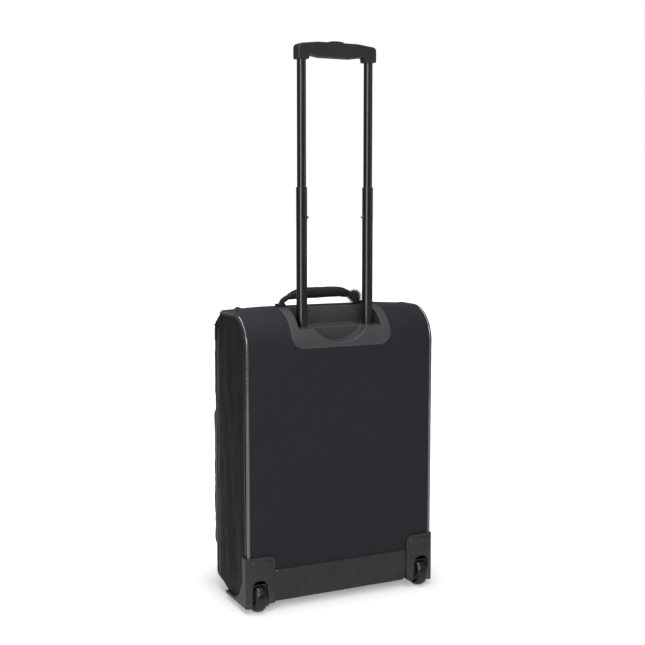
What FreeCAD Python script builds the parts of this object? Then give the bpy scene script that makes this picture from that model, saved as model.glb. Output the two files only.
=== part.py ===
import FreeCAD, Part
import math
import os

V = FreeCAD.Vector

# A two-wheeled softside upright case with a two-stage telescopic handle.
# Millimetres. +Z is up, +Y is the back of the case (handle and wheels), -Y its front
# (lid and pockets), +X its right side seen from the front. z = 0 is the floor.
# Places along Y are given as a depth, measured forward from the back panel's outer face.

# ---- driving dimensions: the soft case ----
HALF_WIDTH = 178.0            # outer face of the side panels
CASE_TOP = 515.0
CASE_BASE = 13.0              # underside of the bottom panel
LID_FRONT = 160.0             # depth of the lid's outer face
ZIP_DEPTH = 136.0             # depth of the main zip's centre line
WALL = 3.0
BACK_TOP_R = 60.0
FRONT_TOP_R = 45.0
FRONT_BASE_R = 20.0
BACK_BASE_R = 20.0
LID_EDGE_R = 12.0
LID_BAND = 14.0               # width of the lid's band between the zip and the seam to its face
PIPING_R = 3.2
SEAM = 0.2                    # half the gap between the case's rim and the lid's rim

# ---- driving dimensions: wheels and base ----
WHEEL_R = 25.0
WHEEL_WIDTH = 21.0
WHEEL_X = 159.5
WHEEL_GAP = 14.0              # half the width of the arch over a wheel
WHEEL_DEPTH = 8.0
AXLE_R = 4.0
BEARING_R = 11.0
BEARING_WIDTH = 7.0
HUB_R = 17.5
HUB_HALF = 9.0
HUB_WEB_HALF = 5.5
HOUSING_X0 = 130.0
HOUSING_TOP = 98.0
HOUSING_PROUD = 5.0
PAD_INSET = 6.5               # border round the raised panel on a wheel housing
PAD_PROUD = 1.6
WELL_X0 = 141.0               # inner wall of the wheel well
WELL_FRONT = 38.5
WELL_TOP = 60.5
RAIL_FRONT = 95.0             # how far forward the housing's low side rail runs
RAIL_BASE = 9.0
KICK_TOP = 70.0
KICK_THICK = 2.0
FOOT_DEPTH = (98.0, 128.0)
FOOT_X = 115.0                # middle of a foot
FOOT_WIDTH = 40.0

# ---- driving dimensions: telescopic handle ----
TUBE_X = 64.0
TUBE_DEPTH = 28.5
SLEEVE_R, SLEEVE_BORE = 11.0, 10.0
MID_R, MID_BORE = 9.5, 8.5
INNER_R, INNER_BORE = 7.8, 7.0
RUN_FIT = 0.05                # radial clearance of a sliding fit
MID_TOP, MID_BASE = 727.0, 425.0
MID_TRAVEL = 240.0            # how far the middle tubes go down
INNER_TOP, INNER_BASE = 952.0, 690.0
LOCK_Z = 676.0
LOCK_PIN_R = 2.2
LOCK_PROUD = 3.5
GRIP_BASE = 942.0
GRIP_HALF = 74.5
GRIP_SOCKET = 53.6            # inner face of a tube's socket
GRIP_TOP = 971.8
GRIP_HALF_DEPTH = 11.5
BUTTON_HALF = 14.0
BUTTON_TOP = 975.0
BUTTON_TRAVEL = 4.0
YOKE_BASE = 957.0
CLAMP_R = 14.0                # outer radius of the bracket's clamps and the shoes' cups
BRACKET_Z = (300.0, 318.0)
SCREW_SPREAD = 17.5           # each base screw's distance from its sleeve's axis

# ---- driving dimensions: handle housing let into the case's curved top edge ----
TRIM_HALF = 97.0
TRIM_BASE = 452.0
TRIM_CORNER_R = 24.0
TRIM_PROUD = 3.0
RECESS_HALF = 80.0
LEDGE_Z = 485.5
RECESS_BACK = 62.0
SHELL = 2.5
SCOOP_HALF = 50.5
SCOOP_LOW = 460.5
SCOOP_DEPTH = 23.5

# ---- driving dimensions: carry handle on top ----
CARRY_DEPTH = 90.0
CARRY_PIVOT_Z = 520.0
CARRY_TOP = 549.5
CARRY_GRIP_HALF = 50.0
CARRY_WEB_HALF = 11.0         # half the webbing's width

# ---- driving dimensions: inside the case ----
LINER_HALF = 172.0
LINER_DEPTH = 44.0            # the back of the board over the handle sleeves
BOARD_THICK, BAND_THICK, BUCKLE_THICK = 1.5, 1.2, 4.3
BAND_HEIGHTS = (170.0, 340.0)

# ---- driving dimensions: pockets and zips on the lid ----
POCKET_HALF = 168.0
POCKET_MAIN = (62.0, 333.0, 200.0)      # base z, top z, depth of the front face
POCKET_UPPER = (338.0, 449.0, 194.0)
POCKET_EDGE_R = 20.0
POCKET_ZIP_HALF = 148.0
POCKET_ZIP_DROP = 17.0                  # zip centre line below the pocket's top
CHAIN_THICK = 1.0
CHAIN_HALF = 5.0
SLIDER_LIFT = 0.3                       # clearance between a slider and its chain
SLIDER_HALF, SLIDER_THICK = 7.0, 2.3
PULL_PIVOT = 3.7                        # height of the pull's pin over the slider's underside
PULL_LENGTH = 28.0
PULL_TOP = 4.9
SLIDER_X = 140.0                        # where the cross-running sliders are parked
SIDE_SLIDER_Z = 486.0

# ---- outermost faces: the housings stand out as far as the side zip's pull ----
PULL_REACH = CHAIN_THICK + SLIDER_LIFT + PULL_TOP
HOUSING_X1 = HALF_WIDTH + PULL_REACH

# ---- the frame: the case stands with the middle of its footprint at x = y = 0 ----
WHEEL_REACH = WHEEL_R - WHEEL_DEPTH
FRONT_REACH = POCKET_MAIN[2] + PULL_REACH
BACK_Y = (FRONT_REACH - WHEEL_REACH) / 2


# ---- small helpers ----
def y_at(depth):
    return BACK_Y - depth


def box(x, depth, z):
    """A box from (low, high) pairs."""
    return Part.makeBox(x[1] - x[0], depth[1] - depth[0], z[1] - z[0], V(x[0], y_at(depth[1]), z[0]))


def rod_z(x, depth, z, radius):
    return Part.makeCylinder(radius, z[1] - z[0], V(x, y_at(depth), z[0]))


def rod_x(x, depth, z, radius):
    return Part.makeCylinder(radius, x[1] - x[0], V(x[0], y_at(depth), z), V(1, 0, 0))


def rod_y(x, depth, z, radius):
    return Part.makeCylinder(radius, depth[1] - depth[0], V(x, y_at(depth[1]), z), V(0, 1, 0))


def tube_z(x, depth, z, outer, inner):
    return rod_z(x, depth, z, outer).cut(rod_z(x, depth, z, inner))


def mirrored(shape):
    return shape.mirror(V(0, 0, 0), V(1, 0, 0))


def on_side(shape, side):
    """A piece drawn on the +X side, on the side asked for."""
    return shape if side > 0 else mirrored(shape)


def rounded_face(corners, place):
    """A face from (u, v, radius) corners; place turns u, v into a point."""
    points = [(FreeCAD.Vector(u, v, 0), r) for u, v, r in corners]
    edges = []
    ends = []
    for i, (corner, radius) in enumerate(points):
        to_last = (points[i - 1][0] - corner).normalize()
        to_next = (points[(i + 1) % len(points)][0] - corner).normalize()
        half = to_last.getAngle(to_next) / 2
        middle = (to_last + to_next).normalize()
        reach = radius / math.tan(half)
        apex = radius / math.sin(half) - radius
        ends.append((corner + to_last * reach, corner + middle * apex, corner + to_next * reach))
    for i, (start, apex, end) in enumerate(ends):
        if start.distanceToPoint(end) > 1e-6:
            arc = [place(p.x, p.y) for p in (start, apex, end)]
            edges.append(Part.Arc(*arc).toShape())
        following = ends[(i + 1) % len(ends)][0]
        if end.distanceToPoint(following) > 1e-6:
            edges.append(Part.makeLine(place(end.x, end.y), place(following.x, following.y)))
    return Part.Face(Part.Wire(Part.sortEdges(edges)[0]))


def profile_across(corners, x):
    """A (depth, z) outline, extruded across the case from x[0] to x[1]."""
    face = rounded_face(corners, lambda depth, z: V(x[0], y_at(depth), z))
    return face.extrude(V(x[1] - x[0], 0, 0))


def profile_along(corners, depth):
    """An (x, z) outline, extruded along the depth."""
    face = rounded_face(corners, lambda px, z: V(px, y_at(depth[0]), z))
    return face.extrude(V(0, depth[0] - depth[1], 0))


def profile_up(corners, z):
    """An (x, depth) outline, extruded upward."""
    face = rounded_face(corners, lambda px, depth: V(px, y_at(depth), z[0]))
    return face.extrude(V(0, 0, z[1] - z[0]))


def fillet_where(shape, radius, wanted):
    """Rounds the edges whose middle point the test wants."""
    edges = [e for e in shape.Edges if wanted(e.valueAt((e.FirstParameter + e.LastParameter) / 2), e)]
    return shape.makeFillet(radius, edges)


def is_along(edge, axis):
    if not isinstance(edge.Curve, (Part.Line, Part.LineSegment)):
        return False
    return abs(edge.tangentAt(edge.FirstParameter).dot(axis)) > 0.999


# ---- the soft case ----
def case_block(offset, x=None):
    """The whole case's outer form, grown by an offset."""
    half = HALF_WIDTH + offset
    corners = [
        (-offset, CASE_BASE - offset, BACK_BASE_R + offset),
        (-offset, CASE_TOP + offset, BACK_TOP_R + offset),
        (LID_FRONT + offset, CASE_TOP + offset, FRONT_TOP_R + offset),
        (LID_FRONT + offset, CASE_BASE - offset, FRONT_BASE_R + offset),
    ]
    return profile_across(corners, x or (-half, half))


def slab(depth):
    """Everything between two depths."""
    return box((-300, 300), depth, (-50, 700))


def lid_block(offset):
    """The lid's outer form in front of the zip, with rounded side edges."""
    half = HALF_WIDTH + offset
    block = case_block(offset).common(slab((ZIP_DEPTH + SEAM, 300)))
    front_of_zip = y_at(ZIP_DEPTH + SEAM) - 0.1

    def is_side_edge(p, e):
        return abs(p.x) > half - 0.1 and p.y < front_of_zip

    return fillet_where(block, LID_EDGE_R + offset, is_side_edge)


def wall_ring(x):
    """The wall that runs round the case's back, top, front and bottom."""
    return case_block(0, x).cut(case_block(-WALL, (x[0] - 1, x[1] + 1)))


def piping():
    """Welt round the +X back edge, from the wheel housing up over the top to the zip."""
    start, turn = V(HALF_WIDTH, y_at(0), HOUSING_TOP), V(HALF_WIDTH, y_at(0), CASE_TOP - BACK_TOP_R)
    over = V(HALF_WIDTH, y_at(BACK_TOP_R), CASE_TOP)
    upright = Part.makeCylinder(PIPING_R, turn.z - start.z, start)
    bend_face = Part.Face(Part.Wire(Part.makeCircle(PIPING_R, turn, V(0, 0, 1))))
    bend = bend_face.revolve(V(HALF_WIDTH, y_at(BACK_TOP_R), turn.z), V(-1, 0, 0), -90)
    flat = Part.makeCylinder(PIPING_R, LID_FRONT - FRONT_TOP_R - BACK_TOP_R, over, V(0, -1, 0))
    return upright.fuse([bend, flat]).removeSplitter()


def wheel_well_room():
    """The room that a wheel well takes out of the soft panels, both sides."""
    room = box((WELL_X0, HALF_WIDTH - WALL), (-10, WELL_FRONT), (0, WELL_TOP))
    hole = rod_x((WELL_X0, HOUSING_X1), WHEEL_DEPTH, WHEEL_R, AXLE_R)
    return room.fuse([hole, mirrored(room), mirrored(hole)])


def housing_room():
    """The hole in the curved top panel that the handle housing drops into."""
    half = RECESS_HALF + SHELL
    recess = box((-half, half), (-10, RECESS_BACK + SHELL), (LEDGE_Z - SHELL, 600))
    bowl = scoop(SHELL, (-10, SCOOP_DEPTH + SHELL))
    return recess.fuse(bowl)


def soft_panels(screws):
    rim = ZIP_DEPTH - SEAM
    inside = (-HALF_WIDTH + WALL, HALF_WIDTH - WALL)
    welts = piping().fuse(mirrored(piping()))
    trims = [welts, wheel_well_room(), housing_room(), trim_skin(), screws]
    ring = wall_ring(inside)
    panels = {
        "back_panel": ring.common(box(inside, (-1, BACK_BASE_R), (0, CASE_TOP - BACK_TOP_R))),
        "top_panel": ring.common(box(inside, (-1, rim), (CASE_TOP - BACK_TOP_R, 600))),
        "bottom_panel": ring.common(box(inside, (BACK_BASE_R, rim), (0, 60))),
    }
    side = case_block(0, (HALF_WIDTH - WALL, HALF_WIDTH)).common(slab((-1, rim)))
    panels["side_panel_right"] = side
    panels["side_panel_left"] = mirrored(side)
    return {name: panel.cut(trims) for name, panel in panels.items()}


def lid_panels():
    inner = case_block(-WALL).common(slab((ZIP_DEPTH + SEAM - 1, 300)))
    limit = HALF_WIDTH - WALL - 0.1

    def is_side_edge(p, e):
        return abs(p.x) > limit and p.y < y_at(ZIP_DEPTH + 1)

    shell = lid_block(0).cut(fillet_where(inner, LID_EDGE_R - WALL, is_side_edge))
    joint_line = ZIP_DEPTH + LID_BAND
    return {
        "lid_gusset": shell.common(slab((0, joint_line))),
        "lid_front_panel": shell.common(slab((joint_line, 300))),
    }


def zip_chains():
    """The two halves of the main zip: round the top, the right side and the bottom."""
    off_hinge = box((-HALF_WIDTH + 20, 300), (0, 300), (-50, 700))
    case_half = case_block(CHAIN_THICK).cut(case_block(0)).common(off_hinge)
    case_half = case_half.common(slab((ZIP_DEPTH - CHAIN_HALF, ZIP_DEPTH - SEAM)))
    lid_half = lid_block(CHAIN_THICK).cut(lid_block(0)).common(off_hinge)
    lid_half = lid_half.common(slab((ZIP_DEPTH + SEAM, ZIP_DEPTH + CHAIN_HALF)))
    return {"zip_chain_case": case_half, "zip_chain_lid": lid_half}


def pocket(limits):
    """An open-backed pocket sewn on the lid's face."""
    base, top, front = limits

    def form(inset):
        half, radius = POCKET_HALF - inset, POCKET_EDGE_R - inset
        corners = [(-half, base + inset, radius), (half, base + inset, radius),
                   (half, top - inset, radius), (-half, top - inset, radius)]
        block = profile_along(corners, (LID_FRONT, front - inset))
        face_y = y_at(front - inset)
        return fillet_where(block, radius * 0.8, lambda p, e: abs(p.y - face_y) < 0.01)

    return form(0).cut(form(WALL - 0.5))


def pocket_zip(limits):
    base, top, front = limits
    z = top - POCKET_ZIP_DROP
    return box((-POCKET_ZIP_HALF, POCKET_ZIP_HALF), (front, front + CHAIN_THICK), (z - 4, z + 4))


# ---- zip sliders: local x runs along the chain, local z stands off the surface ----
def zip_slider(across):
    corners = [(-SLIDER_HALF, -3.4, 1.5), (-1.0, -3.4, 1.0), (SLIDER_HALF, -4.4, 2.0),
               (SLIDER_HALF, 4.4, 2.0), (-1.0, 3.4, 1.0), (-SLIDER_HALF, 3.4, 1.5)]
    plate = rounded_face(corners, lambda u, v: V(u, v, 0)).extrude(V(0, 0, SLIDER_THICK))
    plate = fillet_where(plate, 0.7, lambda p, e: p.z > SLIDER_THICK - 0.01)
    lugs = [Part.makeBox(4, 1, PULL_TOP - 1, V(-2, y, 1)) for y in (-2.9, 1.9)]
    pin = Part.makeCylinder(0.7, 5.0, V(0, -2.5, PULL_PIVOT), V(0, 1, 0))

    def is_crown(p, e):
        return p.z > PULL_TOP - 0.01 and is_along(e, V(0, 1, 0))

    rounded = [fillet_where(lug, 1.1, is_crown) for lug in lugs]
    bridge = rounded[0].fuse([rounded[1], pin])
    if across:
        bridge.rotate(V(0, 0, 0), V(0, 0, 1), 90)
    return plate.fuse(bridge)


def zip_pull(across):
    eye = Part.makeCylinder(1.2, 3.4, V(0, -1.7, PULL_PIVOT), V(0, 1, 0))
    neck = Part.makeBox(6, 3.4, 1.4, V(-6.2, -1.7, PULL_PIVOT - 0.7))
    corners = [(-PULL_LENGTH, -3.6, 3.0), (-5.0, -2.6, 1.0), (-5.0, 2.6, 1.0), (-PULL_LENGTH, 3.6, 3.0)]
    tab = rounded_face(corners, lambda u, v: V(u, v, PULL_PIVOT - 0.7)).extrude(V(0, 0, 1.4))
    tab = tab.cut(Part.makeCylinder(1.6, 6, V(5 - PULL_LENGTH, 0, 0)))
    bore = Part.makeCylinder(0.8, 6, V(0, -3, PULL_PIVOT), V(0, 1, 0))
    pull = eye.fuse([neck, tab]).cut(bore)
    if across:
        pull.rotate(V(0, 0, 0), V(0, 0, 1), 90)
    return pull


def placed(shape, origin, along, up):
    """Sets a piece drawn flat on its surface: along is the chain, up the surface's normal."""
    side = up.cross(along)
    place = FreeCAD.Placement(FreeCAD.Matrix(
        along.x, side.x, up.x, origin.x,
        along.y, side.y, up.y, origin.y,
        along.z, side.z, up.z, origin.z,
        0, 0, 0, 1))
    moved = shape.copy()
    moved.Placement = place.multiply(shape.Placement)
    return moved


def slider_places():
    """Name, origin, chain direction, surface normal and whether the pull lies across the chain."""
    lift = CHAIN_THICK + SLIDER_LIFT
    lean = math.asin((ZIP_DEPTH - LID_FRONT + FRONT_TOP_R) / FRONT_TOP_R)
    normal = V(0, -math.sin(lean), math.cos(lean))
    curve_centre = V(SLIDER_X, y_at(LID_FRONT - FRONT_TOP_R), CASE_TOP - FRONT_TOP_R)
    on_side_face = V(HALF_WIDTH + lift, y_at(ZIP_DEPTH), SIDE_SLIDER_Z)
    places = {
        "zip_{}_top": (curve_centre + normal * (FRONT_TOP_R + lift), V(1, 0, 0), normal, True),
        "zip_{}_side": (on_side_face, V(0, 0, 1), V(1, 0, 0), False),
    }
    for name, (base, top, front) in (("pocket_{}_main", POCKET_MAIN), ("pocket_{}_upper", POCKET_UPPER)):
        origin = V(SLIDER_X, y_at(front + lift), top - POCKET_ZIP_DROP)
        places[name] = (origin, V(1, 0, 0), V(0, -1, 0), True)
    return places


def sliders():
    parts = {}
    for name, (origin, along, up, across) in slider_places().items():
        parts[name.format("slider")] = placed(zip_slider(across), origin, along, up)
        parts[name.format("pull")] = placed(zip_pull(across), origin, along, up)
    return parts


# ---- base: kick plate, wheel housings, wheels, feet ----
def kick_plate(screws):
    half = HOUSING_X0 - 0.3
    skin = case_block(KICK_THICK, (-half, half)).cut(case_block(0, (-half, half)))
    return skin.common(box((-half, half), (-10, 50), (0, KICK_TOP))).cut(screws)


def wheel_housing():
    """Moulded corner on the +X side: back flange, side flange with its rail, and the wheel well."""
    corners = [(HOUSING_X0, RAIL_BASE + 6, 4), (HOUSING_X1, RAIL_BASE, 3),
               (HOUSING_X1, HOUSING_TOP, 3), (HOUSING_X0, HOUSING_TOP, 13)]
    back = profile_along(corners, (-HOUSING_PROUD, 0))
    side_corners = [(-HOUSING_PROUD, RAIL_BASE, 6), (RAIL_FRONT, RAIL_BASE, 1),
                    (RAIL_FRONT, CASE_BASE + 1, 1), (50, CASE_BASE + 2, 20), (29, 28, 16), (16, 52, 16),
                    (16, HOUSING_TOP, 3), (-HOUSING_PROUD, HOUSING_TOP, 2)]
    side = profile_across(side_corners, (HALF_WIDTH, HOUSING_X1))
    well = box((WELL_X0, HALF_WIDTH - WALL), (-1, WELL_FRONT), (RAIL_BASE, WELL_TOP))
    skid_corners = [(WELL_X0, 1, 1), (HOUSING_X1, 1, 1), (HOUSING_X1, RAIL_FRONT, 8),
                    (WELL_X0, RAIL_FRONT, 8)]
    skid = profile_up(skid_corners, (RAIL_BASE, CASE_BASE))
    round_corner = [(HOUSING_X0 - 1, -HOUSING_PROUD, 0.5), (HOUSING_X1, -HOUSING_PROUD, 6),
                    (HOUSING_X1, RAIL_FRONT + 1, 0.5), (HOUSING_X0 - 1, RAIL_FRONT + 1, 0.5)]
    shape = back.fuse([side, well, skid]).common(profile_up(round_corner, (0, HOUSING_TOP + 1)))
    pad_low, pad_high = HOUSING_X0 + PAD_INSET, HOUSING_X1 - PAD_INSET - 2
    pad = [(pad_low, RAIL_BASE + 9, 3), (pad_high, RAIL_BASE + 5, 3),
           (pad_high, HOUSING_TOP - PAD_INSET, 7), (pad_low, HOUSING_TOP - PAD_INSET, 10)]
    shape = shape.fuse(profile_along(pad, (-HOUSING_PROUD - PAD_PROUD, -HOUSING_PROUD + 1)))
    roof = WELL_TOP - 3
    arch = [(-20, -10, 1), (-20, roof, 1), (WELL_FRONT - 2, roof, 16), (WELL_FRONT - 2, -10, 1)]
    low, high = WHEEL_X - WHEEL_GAP, WHEEL_X + WHEEL_GAP
    round_top = [(low, -11, 1), (high, -11, 1), (high, roof, WHEEL_GAP - 2), (low, roof, WHEEL_GAP - 2)]
    shape = shape.cut(profile_across(arch, (low, high)).common(profile_along(round_top, (-25, WELL_FRONT))))
    return shape.cut(rod_x((HOUSING_X0, HALF_WIDTH + 2), WHEEL_DEPTH, WHEEL_R, AXLE_R)).removeSplitter()


def wheel_axle():
    shaft = rod_x((WELL_X0, HALF_WIDTH + 2), WHEEL_DEPTH, WHEEL_R, AXLE_R)
    hub_side = HUB_HALF + 0.3
    collars = [rod_x((WHEEL_X + lo, WHEEL_X + hi), WHEEL_DEPTH, WHEEL_R, AXLE_R + 2.5)
               for lo, hi in ((-WHEEL_GAP, -hub_side), (hub_side, WHEEL_GAP))]
    return shaft.fuse(collars).removeSplitter()


def turned(corners):
    """An (x, radius) outline turned about the wheel's axle."""
    face = rounded_face(corners, lambda x, r: V(WHEEL_X + x, y_at(WHEEL_DEPTH), WHEEL_R + r))
    return face.revolve(V(WHEEL_X, y_at(WHEEL_DEPTH), WHEEL_R), V(1, 0, 0), 360)


def wheel_tyre():
    half = WHEEL_WIDTH / 2
    crown, shoulder = half * 0.4, WHEEL_R - 3.2
    return turned([(-half, HUB_R, 0.5), (half, HUB_R, 0.5), (half, shoulder, 4), (crown, WHEEL_R, 9),
                   (-crown, WHEEL_R, 9), (-half, shoulder, 4)])


def wheel_hub():
    """A ring for the tyre and a ring for the bearings, joined by a thinner web."""
    lip = 1.6
    inner, outer = BEARING_R + lip, HUB_R - lip
    half_outline = [(HUB_HALF, BEARING_R, 0.3), (HUB_HALF, inner, 0.5), (HUB_WEB_HALF, inner + 0.6, 0.4),
                    (HUB_WEB_HALF, outer - 0.6, 0.4), (HUB_HALF, outer, 0.5), (HUB_HALF, HUB_R, 0.3)]
    return turned(half_outline + [(-x, r, rounding) for x, r, rounding in half_outline[::-1]])


def wheel_bearings():
    rings = []
    for x0 in (WHEEL_X - HUB_HALF, WHEEL_X + HUB_HALF - BEARING_WIDTH):
        outer = rod_x((x0, x0 + BEARING_WIDTH), WHEEL_DEPTH, WHEEL_R, BEARING_R)
        bore = rod_x((x0 - 1, x0 + BEARING_WIDTH + 1), WHEEL_DEPTH, WHEEL_R, AXLE_R + RUN_FIT)
        rings.append(outer.cut(bore))
    return Part.makeCompound(rings)


def front_feet():
    feet = []
    for middle in (-FOOT_X, FOOT_X):
        low, high = middle - FOOT_WIDTH / 2, middle + FOOT_WIDTH / 2
        corners = [(low, 0, 3), (high, 0, 3), (high + 4, CASE_BASE, 0.5), (low - 4, CASE_BASE, 0.5)]
        foot = profile_along(corners, FOOT_DEPTH)
        feet.append(fillet_where(foot, 2, lambda p, e: p.z < CASE_BASE / 2 and not is_along(e, V(0, 1, 0))))
    return Part.makeCompound(feet)


# ---- the handle housing in the case's back and top ----
def scoop(grow, depth):
    """The finger scoop's round form, grown by a wall."""
    drop = LEDGE_Z - SCOOP_LOW
    radius = (SCOOP_HALF ** 2 + drop ** 2) / (2 * drop)
    bowl = rod_y(0, depth, SCOOP_LOW + radius, radius + grow)
    return bowl.common(box((-100, 100), (-50, 100), (0, LEDGE_Z + 1)))


def trim_skin():
    """The trim's outer skin over the curved edge, before the recess is cut."""
    skin = case_block(TRIM_PROUD, (-TRIM_HALF, TRIM_HALF)).cut(case_block(-2, (-TRIM_HALF, TRIM_HALF)))
    outline = [(-TRIM_HALF, TRIM_BASE, TRIM_CORNER_R), (TRIM_HALF, TRIM_BASE, TRIM_CORNER_R),
               (TRIM_HALF, 600, 1), (-TRIM_HALF, 600, 1)]
    return skin.common(profile_along(outline, (-10, RECESS_BACK + 4)))


def lock_slots():
    """The way down through ledge, collars and sleeves for the locking pins' heads, both sides."""
    head_x = TUBE_X - MID_R - LOCK_PROUD - 0.3
    low = LOCK_Z - MID_TRAVEL - 6
    half = LOCK_PIN_R + 0.2
    slot = box((head_x, TUBE_X), (TUBE_DEPTH - half, TUBE_DEPTH + half), (low, LEDGE_Z + 10))
    return slot.fuse(mirrored(slot))


def handle_housing():
    skin = trim_skin()
    half = RECESS_HALF + SHELL
    tray = box((-half, half), (2, RECESS_BACK + SHELL), (LEDGE_Z - SHELL, 600))
    tray = tray.common(case_block(TRIM_PROUD))
    bowl = scoop(SHELL, (-2, SCOOP_DEPTH + SHELL)).common(case_block(0))
    shape = skin.fuse([tray, bowl])
    shape = shape.cut([box((-RECESS_HALF, RECESS_HALF), (-20, RECESS_BACK), (LEDGE_Z, 700)),
                       scoop(0, (-20, SCOOP_DEPTH))])
    for x in (-TUBE_X, TUBE_X):
        shape = shape.cut(rod_z(x, TUBE_DEPTH, (400, 520), SLEEVE_R))
    return shape.cut(lock_slots()).removeSplitter()


def tube_collars():
    """Bushes in the tops of the sleeves, each with a flange on the ledge."""
    collars = []
    for x in (-TUBE_X, TUBE_X):
        flange = rod_z(x, TUBE_DEPTH, (LEDGE_Z, LEDGE_Z + 1.5), SLEEVE_R + 2)
        bush = rod_z(x, TUBE_DEPTH, (LEDGE_Z - 28, LEDGE_Z), SLEEVE_BORE)
        bore = rod_z(x, TUBE_DEPTH, (400, 520), MID_R + RUN_FIT)
        collars.append(flange.fuse(bush).cut([bore, lock_slots()]))
    return Part.makeCompound(collars)


# ---- telescopic handle ----
def outer_tube():
    return tube_z(TUBE_X, TUBE_DEPTH, (30, LEDGE_Z), SLEEVE_R, SLEEVE_BORE).cut(lock_slots())


def tube_feet(screws):
    """Moulded shoes that hold the sleeves' lower ends on the bottom panel."""
    feet = []
    for x in (-TUBE_X, TUBE_X):
        base = box((x - SCREW_SPREAD - 3.5, x + SCREW_SPREAD + 3.5), (14, 43), (CASE_BASE + WALL, 28))
        cup = rod_z(x, TUBE_DEPTH, (CASE_BASE + WALL, 58), CLAMP_R)
        foot = base.fuse(cup).cut(rod_z(x, TUBE_DEPTH, (30, 60), SLEEVE_R))
        feet.append(foot.cut(case_block(0).cut(case_block(-WALL))).cut(screws))
    return Part.makeCompound(feet)


def tube_bracket():
    """Cross tie that clamps both sleeves together behind the lining."""
    bar = box((-TUBE_X - 15, TUBE_X + 15), (TUBE_DEPTH - 3, TUBE_DEPTH + 3), BRACKET_Z)
    clamps = [rod_z(x, TUBE_DEPTH, BRACKET_Z, CLAMP_R) for x in (-TUBE_X, TUBE_X)]
    bores = [rod_z(x, TUBE_DEPTH, BRACKET_Z, SLEEVE_R) for x in (-TUBE_X, TUBE_X)]
    return bar.fuse(clamps).cut(bores)


def base_screws():
    """Four screws up through the kick plate into the sleeve shoes."""
    screws = []
    low = CASE_BASE - KICK_THICK
    for x in (-TUBE_X - SCREW_SPREAD, -TUBE_X + SCREW_SPREAD, TUBE_X - SCREW_SPREAD, TUBE_X + SCREW_SPREAD):
        head = rod_z(x, TUBE_DEPTH, (low - 1.8, low), 3.5)
        shank = rod_z(x, TUBE_DEPTH, (low, 27), 1.8)
        screws.append(head.fuse(shank))
    return Part.makeCompound(screws)


def mid_tube():
    tube = tube_z(TUBE_X, TUBE_DEPTH, (MID_BASE, MID_TOP), MID_R, MID_BORE)
    return tube.cut(rod_x((TUBE_X - 20, TUBE_X), TUBE_DEPTH, LOCK_Z, LOCK_PIN_R))


def mid_collars():
    """Bushes in the tops of the middle tubes, for the inner tubes to run in."""
    collars = []
    for x in (-TUBE_X, TUBE_X):
        body = rod_z(x, TUBE_DEPTH, (MID_TOP, MID_TOP + 0.5), MID_R)
        bush = rod_z(x, TUBE_DEPTH, (MID_TOP - 26, MID_TOP), MID_BORE)
        collars.append(body.fuse(bush).cut(rod_z(x, TUBE_DEPTH, (600, 800), INNER_R + RUN_FIT)))
    return Part.makeCompound(collars)


def mid_plugs():
    """Guide plugs on the lower ends of the middle tubes."""
    plugs = []
    for x in (-TUBE_X, TUBE_X):
        head = rod_z(x, TUBE_DEPTH, (MID_BASE - 10, MID_BASE), SLEEVE_BORE - RUN_FIT)
        shank = rod_z(x, TUBE_DEPTH, (MID_BASE, MID_BASE + 13), MID_BORE)
        plugs.append(head.fuse(shank).cut(rod_z(x, TUBE_DEPTH, (400, 450), 4)))
    return Part.makeCompound(plugs)


def lock_pin_tips():
    """The ends of the locking pins that stand in the middle tubes' holes."""
    inside = TUBE_X - MID_BORE - 0.05
    tip = rod_x((TUBE_X - MID_R - LOCK_PROUD, inside), TUBE_DEPTH, LOCK_Z, LOCK_PIN_R)
    tip = fillet_where(tip, 1.5, lambda p, e: p.x < TUBE_X - MID_R - LOCK_PROUD + 0.01)
    return Part.makeCompound([tip, mirrored(tip)])


def inner_tube():
    return tube_z(TUBE_X, TUBE_DEPTH, (INNER_BASE, INNER_TOP), INNER_R, INNER_BORE)


def inner_plugs():
    """Guide plugs on the inner tubes, bored for the push rods and the locking pins."""
    plugs = []
    for side in (-1, 1):
        head = rod_z(TUBE_X, TUBE_DEPTH, (INNER_BASE - 35, INNER_BASE), MID_BORE - RUN_FIT)
        shank = rod_z(TUBE_X, TUBE_DEPTH, (INNER_BASE, INNER_BASE + 22), INNER_BORE)
        pin_room = rod_x((TUBE_X - 10, TUBE_X + 7.2), TUBE_DEPTH, LOCK_Z, LOCK_PIN_R + RUN_FIT)
        rod_room = rod_z(TUBE_X, TUBE_DEPTH, (LOCK_Z, INNER_BASE + 30), 3.0)
        plugs.append(on_side(head.fuse(shank).cut([pin_room, rod_room]), side))
    return Part.makeCompound(plugs)


def lock_pin():
    return rod_x((TUBE_X - MID_BORE + 0.5, TUBE_X + 2.5), TUBE_DEPTH, LOCK_Z, LOCK_PIN_R)


def grip_form():
    corners = [(-GRIP_HALF, GRIP_BASE, 2), (-GRIP_HALF, 967.5, 7), (-38, GRIP_TOP, 60), (38, GRIP_TOP, 60),
               (GRIP_HALF, 967.5, 7), (GRIP_HALF, GRIP_BASE, 2), (GRIP_SOCKET, GRIP_BASE, 2),
               (GRIP_SOCKET, 950.5, 3), (29, 946.8, 20), (-29, 946.8, 20), (-GRIP_SOCKET, 950.5, 3),
               (-GRIP_SOCKET, GRIP_BASE, 2)]
    block = profile_along(corners, (TUBE_DEPTH - GRIP_HALF_DEPTH, TUBE_DEPTH + GRIP_HALF_DEPTH))
    return block.makeFillet(1.8, [e for e in block.Edges if not is_along(e, V(0, 1, 0))])


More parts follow.
